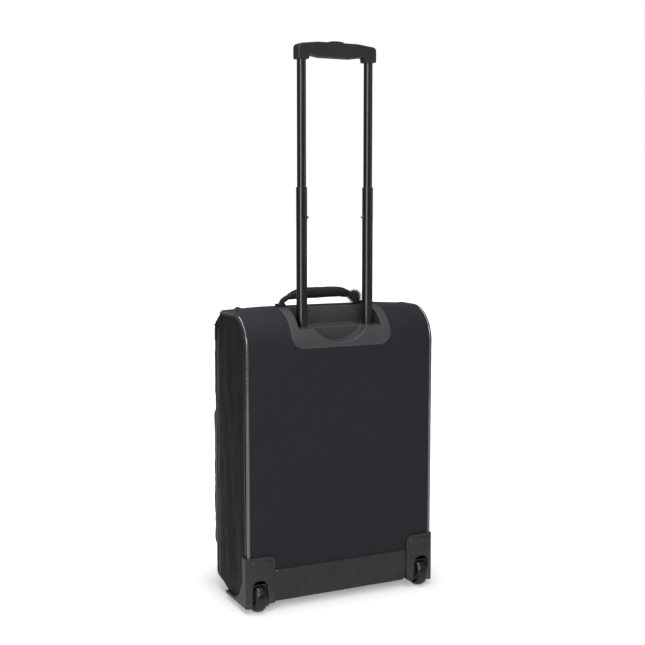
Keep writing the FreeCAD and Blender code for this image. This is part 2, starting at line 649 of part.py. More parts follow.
def grip_parts():
    form = grip_form()
    split = YOKE_BASE - BUTTON_TRAVEL - 0.5
    room = box((-68, 68), (TUBE_DEPTH - 5, TUBE_DEPTH + 5), (split, 966))
    mouth = BUTTON_HALF + 0.3
    button_room = box((-mouth, mouth), (TUBE_DEPTH - 7.3, TUBE_DEPTH + 7.3), (958, 990))
    holes = [rod_z(x, TUBE_DEPTH, (900, INNER_TOP), INNER_R) for x in (-TUBE_X, TUBE_X)]
    holes += [rod_z(x, TUBE_DEPTH, (900, split + 1), INNER_BORE) for x in (-TUBE_X, TUBE_X)]
    under = box((-GRIP_SOCKET + 0.6, GRIP_SOCKET - 0.6), (-20, 80), (900, split))
    return {
        "grip_body": form.cut(under).cut([room, button_room] + holes),
        "grip_underside": form.common(under),
    }


def release_parts():
    corners = [(-BUTTON_HALF, 962, 1), (BUTTON_HALF, 962, 1), (BUTTON_HALF, BUTTON_TOP - 1, 3),
               (0, BUTTON_TOP, 60), (-BUTTON_HALF, BUTTON_TOP - 1, 3)]
    button = profile_along(corners, (TUBE_DEPTH - 7, TUBE_DEPTH + 7))
    button = fillet_where(button, 1.5, lambda p, e: p.z > 966 and not is_along(e, V(0, 1, 0)))
    bar = box((-66.5, 66.5), (TUBE_DEPTH - 4, TUBE_DEPTH + 4), (YOKE_BASE, YOKE_BASE + 5))
    rods = [rod_z(x, TUBE_DEPTH, (LOCK_Z + 8, YOKE_BASE), 2.5) for x in (-TUBE_X, TUBE_X)]
    return {"release_button": button, "release_yoke": bar.fuse(rods)}


# ---- carry handle ----
def carry_anchors():
    anchors = []
    for side in (-1, 1):
        foot = box((66.5, 88.5), (CARRY_DEPTH - 8, CARRY_DEPTH + 8), (CASE_TOP, CASE_TOP + 1.2))
        ears = [box((x, x + 2.5), (CARRY_DEPTH - 3, CARRY_DEPTH + 3), (CASE_TOP + 1, CARRY_PIVOT_Z + 3))
                for x in (68.5, 84)]
        pin = rod_x((69.5, 85.5), CARRY_DEPTH, CARRY_PIVOT_Z, 1.5)
        anchors.append(on_side(foot.fuse(ears + [pin]), side))
    return Part.makeCompound(anchors)


def carry_strap():
    """Webbing arch with an eye at each end, narrowed where it folds down past the panel."""
    outer = [(-80, 519, 0.5), (-59, 543, 16), (59, 543, 16), (80, 519, 0.5)]
    inner = [(-76, 518, 0.5), (-57.5, 540, 14), (57.5, 540, 14), (76, 518, 0.5)]
    depth = (CARRY_DEPTH - CARRY_WEB_HALF, CARRY_DEPTH + CARRY_WEB_HALF)
    band = profile_along(outer, depth).cut(profile_along(inner, (depth[0] - 1, depth[1] + 1)))
    waist = [(CARRY_DEPTH - 3, 515, 0.5), (CARRY_DEPTH - 3, 520, 0.5), (depth[0], 534, 0.5),
             (depth[0], 560, 0.5), (depth[1], 560, 0.5), (depth[1], 534, 0.5),
             (CARRY_DEPTH + 3, 520, 0.5), (CARRY_DEPTH + 3, 515, 0.5)]
    band = band.common(profile_across(waist, (-100, 100)))
    shape = band
    for x in ((-83.5, -71.5), (71.5, 83.5)):
        shape = shape.fuse(rod_x(x, CARRY_DEPTH, CARRY_PIVOT_Z, 3.0))
        shape = shape.cut(rod_x((x[0] - 1, x[1] + 1), CARRY_DEPTH, CARRY_PIVOT_Z, 1.6))
    return shape


def carry_sleeve(strap):
    """Padded grip rolled round the middle of the webbing."""
    corners = [(CARRY_DEPTH - 12, CARRY_TOP - 17, 7.5), (CARRY_DEPTH - 12, CARRY_TOP, 7.5),
               (CARRY_DEPTH + 12, CARRY_TOP, 7.5), (CARRY_DEPTH + 12, CARRY_TOP - 17, 7.5)]
    return profile_across(corners, (-CARRY_GRIP_HALF, CARRY_GRIP_HALF)).cut(strap)


def pompom():
    return Part.makeSphere(11, V(-62, y_at(CARRY_DEPTH - 23), 533))


# ---- inside the case ----
def lining_panel():
    """Board with lining cloth over the handle sleeves."""
    front = LINER_DEPTH + BOARD_THICK
    return box((-LINER_HALF, LINER_HALF), (LINER_DEPTH, front), (CASE_BASE + WALL + 2, LEDGE_Z - 9.5))


def packing_straps():
    """Two elastic bands across the packing space, each with its buckle."""
    straps = []
    back = LINER_DEPTH + BOARD_THICK
    middle = back + BAND_THICK
    front = middle + BUCKLE_THICK
    for z in BAND_HEIGHTS:
        band = box((-LINER_HALF, LINER_HALF), (back, middle), (z - 12, z + 12))
        buckle = box((-22, 22), (middle, front), (z - 16, z + 16))
        straps.append(band)
        straps.append(fillet_where(buckle, 1.5, lambda p, e: p.y < y_at(front - 0.1)))
    return Part.makeCompound(straps)


# ---- build ----
def build():
    parts = {}
    screws = base_screws()
    parts.update(soft_panels(screws))
    parts.update(lid_panels())
    parts.update(zip_chains())
    parts["pocket_main"] = pocket(POCKET_MAIN)
    parts["pocket_upper"] = pocket(POCKET_UPPER)
    parts["pocket_zip_chains"] = Part.makeCompound([pocket_zip(POCKET_MAIN), pocket_zip(POCKET_UPPER)])
    parts.update(sliders())
    for name, side in (("left", -1), ("right", 1)):
        parts["piping_" + name] = on_side(piping(), side)
        parts["wheel_housing_" + name] = on_side(wheel_housing(), side)
        parts["wheel_tyre_" + name] = on_side(wheel_tyre(), side)
        parts["wheel_hub_" + name] = on_side(wheel_hub(), side)
        parts["wheel_bearings_" + name] = on_side(wheel_bearings(), side)
        parts["outer_tube_" + name] = on_side(outer_tube(), side)
        parts["mid_tube_" + name] = on_side(mid_tube(), side)
        parts["inner_tube_" + name] = on_side(inner_tube(), side)
        parts["lock_pin_" + name] = on_side(lock_pin(), side)
    parts["wheel_axles"] = Part.makeCompound([wheel_axle(), mirrored(wheel_axle())])
    parts["kick_plate"] = kick_plate(screws)
    parts["front_feet"] = front_feet()
    parts["base_screws"] = screws
    parts["handle_housing"] = handle_housing()
    parts["tube_collars"] = tube_collars()
    parts["tube_feet"] = tube_feet(screws)
    parts["tube_bracket"] = tube_bracket()
    parts["mid_collars"] = mid_collars()
    parts["mid_plugs"] = mid_plugs()
    parts["lock_pin_tips"] = lock_pin_tips()
    parts["inner_plugs"] = inner_plugs()
    parts.update(grip_parts())
    parts.update(release_parts())
    parts["carry_handle_anchors"] = carry_anchors()
    parts["carry_handle_strap"] = carry_strap()
    parts["carry_handle_sleeve"] = carry_sleeve(parts["carry_handle_strap"])
    parts["pompom"] = pompom()
    parts["lining_panel"] = lining_panel()
    parts["packing_straps"] = packing_straps()
    return parts


def main():
    os.makedirs("parts", exist_ok=True)
    for name, shape in sorted(build().items()):
        solids = Part.makeCompound(shape.Solids) if len(shape.Solids) > 1 else shape.Solids[0]
        solids.exportStep(os.path.join("parts", name + ".step"))
        size = solids.BoundBox
        print(f"{name:24s} solids {len(shape.Solids)} valid {solids.isValid()} "
              f"{size.XLength:7.1f} {size.YLength:7.1f} {size.ZLength:7.1f}")


main()
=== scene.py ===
import math
import random

import bmesh
import bpy
import numpy as np
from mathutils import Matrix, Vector, noise


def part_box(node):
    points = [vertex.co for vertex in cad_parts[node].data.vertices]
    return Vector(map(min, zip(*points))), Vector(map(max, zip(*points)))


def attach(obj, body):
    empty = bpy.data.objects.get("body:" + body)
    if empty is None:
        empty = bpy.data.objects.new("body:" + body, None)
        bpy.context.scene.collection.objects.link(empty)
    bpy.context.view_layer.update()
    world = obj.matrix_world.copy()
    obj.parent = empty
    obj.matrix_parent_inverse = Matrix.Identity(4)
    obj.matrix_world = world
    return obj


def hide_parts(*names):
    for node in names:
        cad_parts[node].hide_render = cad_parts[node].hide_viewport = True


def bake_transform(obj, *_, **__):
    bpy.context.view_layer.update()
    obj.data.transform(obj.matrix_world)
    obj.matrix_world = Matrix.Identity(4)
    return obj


# A two-wheeled softside upright case, seen from behind with its handle pulled out.
# Metres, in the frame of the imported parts: +Z up, +Y the case's back, -Y its front, +X its right.
# A depth is measured forward from the back panel's outer face.
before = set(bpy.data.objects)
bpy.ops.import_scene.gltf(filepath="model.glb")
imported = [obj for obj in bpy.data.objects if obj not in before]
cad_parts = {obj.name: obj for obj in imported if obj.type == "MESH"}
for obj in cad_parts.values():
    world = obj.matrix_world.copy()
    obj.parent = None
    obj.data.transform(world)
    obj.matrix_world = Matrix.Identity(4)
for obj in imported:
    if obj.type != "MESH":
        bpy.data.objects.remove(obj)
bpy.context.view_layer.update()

MM = 0.001
UP = Vector((0, 0, 1))

# ---- driving dimensions, from the frame ----
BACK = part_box("back_panel")[1].y
X_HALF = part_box("side_panel_right")[1].x
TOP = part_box("top_panel")[1].z
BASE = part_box("bottom_panel")[0].z
LID_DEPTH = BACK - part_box("lid_front_panel")[0].y
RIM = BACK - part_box("zip_chain_case")[0].y
LID_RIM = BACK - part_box("lid_gusset")[1].y
LID_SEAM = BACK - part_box("lid_gusset")[0].y
ZIP_DEPTH = (RIM + LID_RIM) / 2
KICK_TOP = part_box("kick_plate")[1].z
KICK_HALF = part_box("kick_plate")[1].x
KICK_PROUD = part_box("kick_plate")[1].y - BACK
HOUSING_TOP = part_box("wheel_housing_right")[1].z

# ---- the soft case's form ----
BACK_TOP_R = 60 * MM
FRONT_TOP_R = 45 * MM
BASE_R = 20 * MM
LID_EDGE_R = 12 * MM
CORNER_R = 18 * MM            # how round the case's corners are at the zip, seen from the front
CORNER_FROM = 85 * MM         # depth where the piped edge starts to turn into that corner
CLOTH = 1.3 * MM              # thickness of the outer cloth and the leatherette
LINING_CLOTH = 0.5 * MM
PIPING_R = 2.9 * MM
FLANGE = 11 * MM              # from the edge's welt to the seam inside it
SEAM_SHARE = 0.09             # how far across the side panel that seam lies
RECESS_HALF = 85 * MM         # room kept clear of lining round the handle's recess
RECESS_DEPTH = 67 * MM
SAG = 2.6 * MM                # how far the top drops at its corners
CORNER_MIDDLE = 0.29          # a rounded corner's middle lies this many radii in from each wall
LINING_GAP = 3.0 * MM         # from a panel's outer face to its lining
BOARD_DEPTH = 44 * MM         # the back board, which the lining reaches
POCKET_R = 20 * MM
SHOULDER = POCKET_R * 0.8     # width of the rounded edge round a pocket's face
WELT_OUT = POCKET_R * 0.566   # from the face's flat part out to the welt on that edge
TOOTH = 1.3 * MM              # pitch of a zip's coil
MAIN_TAPE = 5.5 * MM          # width of one half of each zip's tape
POCKET_TAPE = 4.2 * MM
POCKET_ZIP_DROP = 17 * MM     # from a pocket's top down to its zip
SIDES = ((1, "right"), (-1, "left"))


def at(x, depth, z):
    """A point at a depth from the back, with the top sagging a little towards the case's corners."""
    sag = SAG * smooth_step(95 * MM, X_HALF, abs(x)) * smooth_step(TOP - 110 * MM, TOP - 10 * MM, z)
    return Vector((x, BACK - depth, z - sag))


def srgb(r, g, b):
    """A linear colour from 0 to 255 screen values."""
    def lin(c):
        c = c / 255
        return c / 12.92 if c <= 0.04045 else ((c + 0.055) / 1.055) ** 2.4
    return (lin(r), lin(g), lin(b), 1.0)


def smooth_step(a, b, x):
    t = min(max((x - a) / (b - a), 0.0), 1.0)
    return t * t * (3 - 2 * t)


def ripple(x, y, z, scale):
    """Smooth noise from about -1 to 1; scale is the size of its lumps."""
    return noise.noise(Vector((x, y, z)) / scale)


# ---- smooth outlines, walked by their length ----
class Track:
    """A line through (u, v, radius) corners. at(s) gives its point and outward normal."""

    def __init__(self, corners, step=0.5 * MM):
        points = []
        count = len(corners)
        for i, (u, v, radius) in enumerate(corners):
            corner = np.array((u, v))
            back = np.array(corners[i - 1][:2]) - corner
            on = np.array(corners[(i + 1) % count][:2]) - corner
            back = back / np.linalg.norm(back)
            on = on / np.linalg.norm(on)
            half = math.acos(max(-1.0, min(1.0, float(back @ on)))) / 2
            reach = radius / math.tan(half)
            centre = corner + (back + on) / np.linalg.norm(back + on) * radius / math.sin(half)
            start = corner + back * reach - centre
            end = corner + on * reach - centre
            turn = math.pi - 2 * half
            steps = max(2, int(turn * radius / step))
            sign = math.copysign(1, start[0] * end[1] - start[1] * end[0])
            for k in range(steps + 1):
                a = sign * turn * k / steps
                ca, sa = math.cos(a), math.sin(a)
                turned_by = np.array(((ca, -sa), (sa, ca)))
                points.append(centre + turned_by @ start)
        points.append(points[0])
        dense = [points[0]]
        for p, q in zip(points, points[1:]):
            parts = max(1, int(np.linalg.norm(q - p) / step))
            for k in range(1, parts + 1):
                dense.append(p + (q - p) * k / parts)
        self.points = np.array(dense)
        steps = np.linalg.norm(np.diff(self.points, axis=0), axis=1)
        self.s = np.concatenate(([0], np.cumsum(steps)))
        self.length = float(self.s[-1])
        ahead = np.roll(self.points[:-1], -1, axis=0) - np.roll(self.points[:-1], 1, axis=0)
        ahead = np.vstack((ahead, ahead[:1]))
        normals = np.stack((ahead[:, 1], -ahead[:, 0]), axis=1)
        normals /= np.linalg.norm(normals, axis=1)[:, None] + 1e-12
        middle = self.points.mean(axis=0)
        if ((self.points - middle) * normals).sum() < 0:
            normals = -normals
        self.normals = normals

    def at(self, s):
        s = s % self.length
        u = np.interp(s, self.s, self.points[:, 0])
        v = np.interp(s, self.s, self.points[:, 1])
        n = np.array((np.interp(s, self.s, self.normals[:, 0]), np.interp(s, self.s, self.normals[:, 1])))
        return (u, v), n / np.linalg.norm(n)

    def near(self, u, v):
        gaps = np.linalg.norm(self.points - np.array((u, v)), axis=1)
        return float(self.s[int(gaps.argmin())])


CASE = Track([(0, BASE, BASE_R), (0, TOP, BACK_TOP_R),
              (LID_DEPTH, TOP, FRONT_TOP_R), (LID_DEPTH, BASE, BASE_R)])
S_RIM_TOP = CASE.near(RIM, TOP)
S_KICK_TOP = CASE.near(0, KICK_TOP)


def off_case(x, s, lift):
    """A point that stands off the case's outline, a distance s along it."""
    (depth, z), n = CASE.at(s)
    return at(x, depth + n[0] * lift, z + n[1] * lift)


def top_at(depth):
    """Height of the case's top at a depth."""
    into = max(0.0, depth - (LID_DEPTH - FRONT_TOP_R))
    return TOP - FRONT_TOP_R + math.sqrt(max(0.0, FRONT_TOP_R ** 2 - into ** 2))


def base_at(depth):
    into = max(0.0, depth - (LID_DEPTH - BASE_R), BASE_R - depth)
    return BASE + BASE_R - math.sqrt(max(0.0, BASE_R ** 2 - into ** 2))


def soften(p, proud=0.0):
    """Rounds the long edges between the sides and the top or base, more and more towards the zip."""
    depth = BACK - p.y
    r = CORNER_R * smooth_step(CORNER_FROM, RIM, depth)
    if r < 0.2 * MM:
        return p
    x_in = X_HALF - r
    side = math.copysign(1, p.x)
    for z_in, way in ((top_at(depth) - r, 1), (base_at(depth) + r, -1)):
        du, dv = abs(p.x) - x_in, (p.z - z_in) * way
        if du > 0 and dv > 0:
            reach = math.hypot(du, dv)
            limit = r + proud
            if reach > limit:
                return Vector((side * (x_in + du * limit / reach), p.y, z_in + way * dv * limit / reach))
    return p


# ---- meshes ----
def link(obj):
    bpy.context.scene.collection.objects.link(obj)
    return obj


def add_mesh(name, verts, faces, material):
    mesh = bpy.data.meshes.new(name)
    mesh.from_pydata([tuple(v) for v in verts], [], faces)
    mesh.shade_smooth()
    mesh.materials.append(material)
    return link(bpy.data.objects.new(name, mesh))


def grid_faces(rows, cols, wrap_rows=False, wrap_cols=False):
    faces = []
    for i in range(rows if wrap_rows else rows - 1):
        for j in range(cols if wrap_cols else cols - 1):
            a, b = i * cols + j, i * cols + (j + 1) % cols
            c, d = ((i + 1) % rows) * cols + (j + 1) % cols, ((i + 1) % rows) * cols + j
            faces.append((a, b, c, d))
    return faces


def applied(obj):
    """Replaces an object's mesh by what its modifiers make of it."""
    graph = bpy.context.evaluated_depsgraph_get()
    mesh = bpy.data.meshes.new_from_object(obj.evaluated_get(graph))
    obj.modifiers.clear()
    obj.data = mesh
    obj.data.shade_smooth()
    return obj


def thicken(obj, thickness, levels=0, offset=-1):
    solid = obj.modifiers.new("thickness", "SOLIDIFY")
    solid.thickness = thickness
    solid.offset = offset
    solid.use_even_offset = False
    return subdivided(obj, levels)


def subdivided(obj, levels):
    if levels:
        sub = obj.modifiers.new("soft", "SUBSURF")
        sub.levels = levels
        sub.render_levels = levels
    return applied(obj)


def spaced(low, high, step, *extra):
    """Evenly spaced values from low to high, with some exact values set among them."""
    count = max(1, round((high - low) / step))
    values = [low + (high - low) * i / count for i in range(count + 1)]
    for value in extra:
        if low < value < high:
            nearest = min(range(1, count), key=lambda i: abs(values[i] - value))
            values[nearest] = value
    return sorted(values)


def frames_along(points, up):
    """A sideways and an upward direction at each point of a path."""
    result = []
    side_up = Vector(up)
    for i, p in enumerate(points):
        ahead = points[min(i + 1, len(points) - 1)] - points[max(i - 1, 0)]
        ahead.normalize()
        side_up = side_up - ahead * side_up.dot(ahead)
        side_up.normalize()
        result.append((side_up.cross(ahead), side_up.copy()))
    return result


def tube_faces(rows, cols):
    """Faces of a tube of rings, closed at both ends."""
    last = (rows - 1) * cols
    ends = [tuple(range(cols))[::-1], tuple(range(last, last + cols))]
    return grid_faces(rows, cols, wrap_cols=True) + ends


def sweep(name, points, section, material, up=UP):
    """A section, a function of the point's number, as (sideways, upward) points carried along a path."""
    verts = []
    for i, (p, (side, upward)) in enumerate(zip(points, frames_along(points, up))):
        verts += [p + side * a + upward * b for a, b in section(i)]
    return add_mesh(name, verts, tube_faces(len(points), len(section(0))), material)


def circle(radius, count):
    turns = [2 * math.pi * i / count for i in range(count)]
    return [(radius * math.cos(a), radius * math.sin(a)) for a in turns]


def flat_section(width, thick, count):
    """A strap's section: flat, with round edges."""
    half, r = width / 2 - thick / 2, thick / 2
    ring = []
    for cx, start in ((half, -math.pi / 2), (-half, math.pi / 2)):
        for i in range(count + 1):
            a = start + math.pi * i / count
            ring.append((cx + r * math.cos(a), r * math.sin(a)))
    return ring


def turned(name, profile, centre, material, count=96):
    """An (along x, radius) outline turned about an axle that runs along X."""
    verts = []
    for k in range(count):
        a = 2 * math.pi * k / count
        for along, radius in profile:
            verts.append(Vector(centre) + Vector((along, radius * math.cos(a), radius * math.sin(a))))
    faces = grid_faces(count, len(profile), wrap_rows=True, wrap_cols=True)
    return add_mesh(name, verts, faces, material)


def join(name, objects):
    """One object from several, which are removed."""
    verts, faces, base = [], [], 0
    material = objects[0].data.materials[0]
    for obj in objects:
        verts += [obj.matrix_world @ v.co for v in obj.data.vertices]
        faces += [tuple(base + i for i in p.vertices) for p in obj.data.polygons]
        base = len(verts)
        bpy.data.objects.remove(obj)
    return add_mesh(name, verts, faces, material)


def finish_piece(obj, body, slot, *nodes):
    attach(obj, body)
    if nodes:
        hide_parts(*nodes)
    return obj


# ---- materials ----
class Nodes:
    """A material under construction: each method adds a node and gives back its output."""

    def __init__(self, name, **constants):
        self.material = bpy.data.materials.new(name)
        self.material.use_nodes = True
        self.tree = self.material.node_tree
        self.shader = self.tree.nodes["Principled BSDF"]
        for key, value in constants.items():
            self.shader.inputs[key.replace("_", " ")].default_value = value
        self.place = self.add("ShaderNodeTexCoord").outputs["Object"]
        self.normal = self.add("ShaderNodeNewGeometry").outputs["Normal"]

    def add(self, kind, **settings):
        node = self.tree.nodes.new(kind)
        for key, value in settings.items():
            setattr(node, key, value)
        return node

    def put(self, socket, value):
        if isinstance(value, bpy.types.NodeSocket):
            self.tree.links.new(value, socket)
        else:
            socket.default_value = value

    def math(self, operation, a, b=0.0):
        node = self.add("ShaderNodeMath", operation=operation)
        for socket, value in zip(node.inputs, (a, b)):
            self.put(socket, value)
        return node.outputs[0]

    def stretched(self, x, y, z):
        node = self.add("ShaderNodeVectorMath", operation="MULTIPLY")
        self.put(node.inputs[0], self.place)
        node.inputs[1].default_value = (x, y, z)
        return node.outputs[0]

    def split(self, vector):
        node = self.add("ShaderNodeSeparateXYZ")
        self.put(node.inputs[0], vector)
        return node.outputs

    def noise(self, scale, detail=2.0, rough=0.5, vector=None):
        node = self.add("ShaderNodeTexNoise")
        self.put(node.inputs["Vector"], self.place if vector is None else vector)
        node.inputs["Scale"].default_value = scale
        node.inputs["Detail"].default_value = detail
        node.inputs["Roughness"].default_value = rough
        return node.outputs[0]

    def cells(self, scale):
        node = self.add("ShaderNodeTexVoronoi", feature="SMOOTH_F1")
        self.put(node.inputs["Vector"], self.place)
        node.inputs["Scale"].default_value = scale
        return node.outputs["Distance"]

    def ranged(self, value, a, b, low, high):
        node = self.add("ShaderNodeMapRange")
        for socket, number in zip(node.inputs, (value, a, b, low, high)):
            self.put(socket, number)
        return node.outputs[0]

    def mix(self, share, a, b):
        node = self.add("ShaderNodeMix", data_type="RGBA")
        self.put(node.inputs["Factor"], share)
        self.put(node.inputs[6], a)
        self.put(node.inputs[7], b)
        return node.outputs[2]

    def bump(self, height, distance, strength=1.0, under=None):
        node = self.add("ShaderNodeBump")
        node.inputs["Distance"].default_value = distance
        node.inputs["Strength"].default_value = strength
        self.put(node.inputs["Height"], height)
        if under is not None:
            self.put(node.inputs["Normal"], under)
        return node.outputs[0]

    def weave(self, period):
        """A plain weave seen square on to each side: crossing threads, high and low in turn."""
        waves = [self.wave(axis, 2 * period) for axis in self.split(self.place)]
        facing = [self.math("POWER", self.math("ABSOLUTE", axis), 3.0) for axis in self.split(self.normal)]
        height = 0.0
        for i in range(3):
            crossed = self.math("MULTIPLY", waves[i - 1], waves[i - 2])
            height = self.math("ADD", height, self.math("MULTIPLY", crossed, facing[i]))
        return height

    def wave(self, value, period):
        return self.math("SINE", self.math("MULTIPLY", value, 2 * math.pi / period))

    def scuffs(self, below, share):
        """More dust and rubbing towards the floor."""
        height = self.split(self.place)[2]
        low = self.ranged(height, 0.0, below, share, 0.0)
        return self.math("MULTIPLY", low, self.ranged(self.noise(60, 4, 0.7), 0.4, 0.7, 0.0, 1.0))

    def done(self, colour=None, roughness=None, normal=None):
        for key, value in (("Base Color", colour), ("Roughness", roughness), ("Normal", normal)):
            if value is not None:
                self.put(self.shader.inputs[key], value)
        return self.material


def cloth_material(name, dark, light, period, crinkle, roughness=(0.6, 0.7), sheen=0.06):
    """Woven cloth: threads, fine crinkles, uneven dye and dust low down."""
    m = Nodes(name, Sheen_Weight=sheen, Sheen_Roughness=0.4, Specular_IOR_Level=0.3)
    threads = m.weave(period)
    # The colour is also paler where the weave stands high and darker where it sinks: painted shade between
    # the threads.
    tone = m.math("ADD", m.ranged(m.noise(14, 3), 0.3, 0.7, 0.1, 0.5), m.ranged(threads, -0.5, 0.5, 0.0, 0.5))
    colour = m.mix(tone, dark, light)
    colour = m.mix(m.scuffs(0.07, 0.12), colour, srgb(96, 92, 88))
    creases = m.noise(140, 5, 0.62, m.stretched(1.0, 1.0, 0.6))
    normal = m.bump(creases, crinkle, 0.7)
    normal = m.bump(threads, 0.09 * MM, 0.55, normal)
    return m.done(colour, m.ranged(m.noise(25, 3), 0.3, 0.7, *roughness), normal)


def vinyl_material(name, dark, light, grain, roughness, coat=0.0, depth=0.12 * MM):
    """Leather-like vinyl: closed pebbles, gloss that varies and paler rubbed spots."""
    m = Nodes(name, Coat_Weight=coat, Coat_Roughness=0.12, Coat_IOR=2.1, Specular_IOR_Level=0.8)
    pebbles = m.math("ADD", m.cells(grain), m.math("MULTIPLY", m.noise(grain * 2.3, 3), 0.4))
    colour = m.mix(m.ranged(m.noise(30, 4, 0.6), 0.35, 0.7, 0.0, 1.0), dark, light)
    colour = m.mix(m.scuffs(0.06, 0.12), colour, srgb(110, 106, 100))
    rough = m.ranged(m.math("ADD", m.noise(45, 3), m.math("MULTIPLY", pebbles, 0.3)), 0.4, 0.9, *roughness)
    return m.done(colour, rough, m.bump(pebbles, depth, 0.8))


def plastic_material(name, dark, light, roughness, grain=900, depth=0.05 * MM, coat=0.0, wear=0.35):
    """Moulded plastic with a spark-eroded grain, handling marks, and edges rubbed paler."""
    m = Nodes(name, Coat_Weight=coat, Coat_Roughness=0.08, Specular_IOR_Level=0.5)
    grains = m.noise(grain, 3, 0.6)
    marks = m.noise(260, 4, 0.7, m.stretched(1.0, 1.0, 0.25))
    colour = m.mix(m.ranged(m.noise(22, 4, 0.6), 0.3, 0.7, 0.0, 1.0), dark, light)
    edges = m.add("ShaderNodeNewGeometry").outputs["Pointiness"]
    rubbed = m.math("MULTIPLY", m.ranged(edges, 0.52, 0.6, 0.0, wear), m.ranged(marks, 0.35, 0.6, 0.3, 1.0))
    colour = m.mix(rubbed, colour, srgb(140, 138, 134))
    colour = m.mix(m.scuffs(0.07, 0.4), colour, srgb(120, 114, 106))
    rough = m.ranged(marks, 0.3, 0.75, *roughness)
    return m.done(colour, rough, m.bump(grains, depth, 0.6))


def lacquer_material(name, colour, roughness):
    """Gloss lacquer drawn along its length, with fine rub lines where it slides."""
    m = Nodes(name, Coat_Weight=1.0, Coat_Roughness=0.06, Specular_IOR_Level=0.6)
    drawn = m.noise(120, 2, 0.5, m.stretched(1.0, 1.0, 0.01))
    patches = m.noise(18, 3, 0.6)
    lighter = tuple(min(1, c * 1.5) for c in colour[:3]) + (1.0,)
    tone = m.mix(m.ranged(patches, 0.3, 0.7, 0.0, 1.0), colour, lighter)
    tone = m.mix(m.ranged(drawn, 0.6, 0.8, 0.0, 0.03), tone, srgb(50, 50, 54))
    return m.done(tone, m.ranged(patches, 0.3, 0.7, *roughness))


def metal_material(name, grey, roughness):
    """Bare metal with darker marks."""
    m = Nodes(name, Metallic=1.0)
    marks = m.noise(420, 4, 0.7, m.stretched(1.0, 0.3, 1.0))
    darker = tuple(c * 0.55 for c in grey) + (1.0,)
    tone = m.mix(m.ranged(marks, 0.35, 0.7, 0.0, 1.0), grey + (1.0,), darker)
    return m.done(tone, m.ranged(marks, 0.3, 0.7, *roughness), m.bump(marks, 0.02 * MM, 0.5))


def rubber_material(name):
    """Polyurethane tread: satin, a little dusty where it rolls."""
    m = Nodes(name, Specular_IOR_Level=0.4, Coat_Weight=0.35, Coat_Roughness=0.12)
    speckle = m.noise(700, 4, 0.7)
    dust = m.noise(90, 5, 0.65)
    colour = m.mix(m.ranged(dust, 0.4, 0.8, 0.0, 0.5), srgb(13, 13, 12), srgb(32, 30, 28))
    return m.done(colour, m.ranged(dust, 0.3, 0.7, 0.26, 0.45), m.bump(speckle, 0.02 * MM, 0.5))


def webbing_material(name):
    """Ribbed strap: ribs across its length, with a twill of fine threads."""
    m = Nodes(name, Sheen_Weight=0.3, Sheen_Roughness=0.4, Specular_IOR_Level=0.3)
    x, y, z = m.split(m.place)
    ribs = m.wave(m.math("ADD", x, z), 1.5 * MM)
    lines = m.wave(y, 0.9 * MM)
    height = m.math("ADD", m.math("MULTIPLY", ribs, 0.6), m.math("MULTIPLY", lines, 0.4))
    # Paler on the ribs' crests and darker in the grooves between them: painted shade.
    colour = m.mix(m.ranged(height, -1.0, 1.0, 0.0, 1.0), srgb(24, 24, 25), srgb(52, 51, 53))
    return m.done(colour, m.ranged(m.noise(60, 3), 0.3, 0.7, 0.6, 0.8), m.bump(height, 0.18 * MM, 0.8))


def fibre_material(name, dark, light):
    m = Nodes(name, Sheen_Weight=0.5, Sheen_Roughness=0.3, Specular_IOR_Level=0.35)
    tone = m.noise(700, 2, 0.5)
    return m.done(m.mix(tone, dark, light), m.ranged(tone, 0.3, 0.7, 0.45, 0.65))


def thread_material(name, dark, light):
    """Twisted thread."""
    m = Nodes(name, Sheen_Weight=0.3, Sheen_Roughness=0.4)
    x, y, z = m.split(m.place)
    twist = m.wave(m.math("ADD", m.math("ADD", x, y), z), 0.5 * MM)
    # Paler and darker in turn along the twist, following its ridges: painted shade in the grooves.
    colour = m.mix(m.ranged(twist, -1.0, 1.0, 0.0, 1.0), dark, light)
    return m.done(colour, m.ranged(m.noise(80, 2), 0.3, 0.7, 0.5, 0.65), m.bump(twist, 0.05 * MM, 0.6))


NYLON = cloth_material("nylon", srgb(29, 28, 34), srgb(35, 34, 41), 0.42 * MM, 0.12 * MM)
# The same nylon as NYLON, made darker and given less sheen for the side panels, the lid's band and the hinge
# tape: painted shade.
NYLON_SIDE_SHADED = cloth_material("nylon_side_shaded", srgb(17, 17, 19), srgb(23, 22, 25), 0.42 * MM, 0.16 * MM,
                            (0.66, 0.76), 0.02)
LINING = cloth_material("lining", srgb(96, 97, 102), srgb(118, 119, 124), 0.55 * MM, 0.1 * MM,
                        (0.55, 0.7), 0.35)
VINYL = vinyl_material("piping_vinyl", srgb(27, 27, 28), srgb(35, 34, 35), 700, (0.26, 0.34), 1.0, 0.01 * MM)
LEATHERETTE = vinyl_material("leatherette", srgb(22, 20, 19), srgb(28, 25, 24), 620, (0.56, 0.68))
HOUSING_PLASTIC = plastic_material("housing_plastic", srgb(37, 35, 34), srgb(44, 42, 40), (0.32, 0.44))
TRIM_PLASTIC = plastic_material("trim_plastic", srgb(61, 61, 63), srgb(69, 68, 71), (0.44, 0.56))
GRIP_PLASTIC = plastic_material("grip_plastic", srgb(38, 37, 36), srgb(46, 45, 44), (0.32, 0.44), wear=0.3)
GLOSS_PLASTIC = plastic_material("gloss_plastic", srgb(12, 12, 13), srgb(18, 18, 20), (0.12, 0.22), 700,
                                 0.01 * MM, 0.8)
TUBE_METAL = lacquer_material("tube_lacquer", srgb(9, 9, 11), (0.22, 0.3))
STEEL = metal_material("steel", (0.42, 0.41, 0.4), (0.25, 0.45))
ZIP_METAL = metal_material("zip_metal", (0.06, 0.06, 0.065), (0.3, 0.5))
TYRE = rubber_material("tyre")
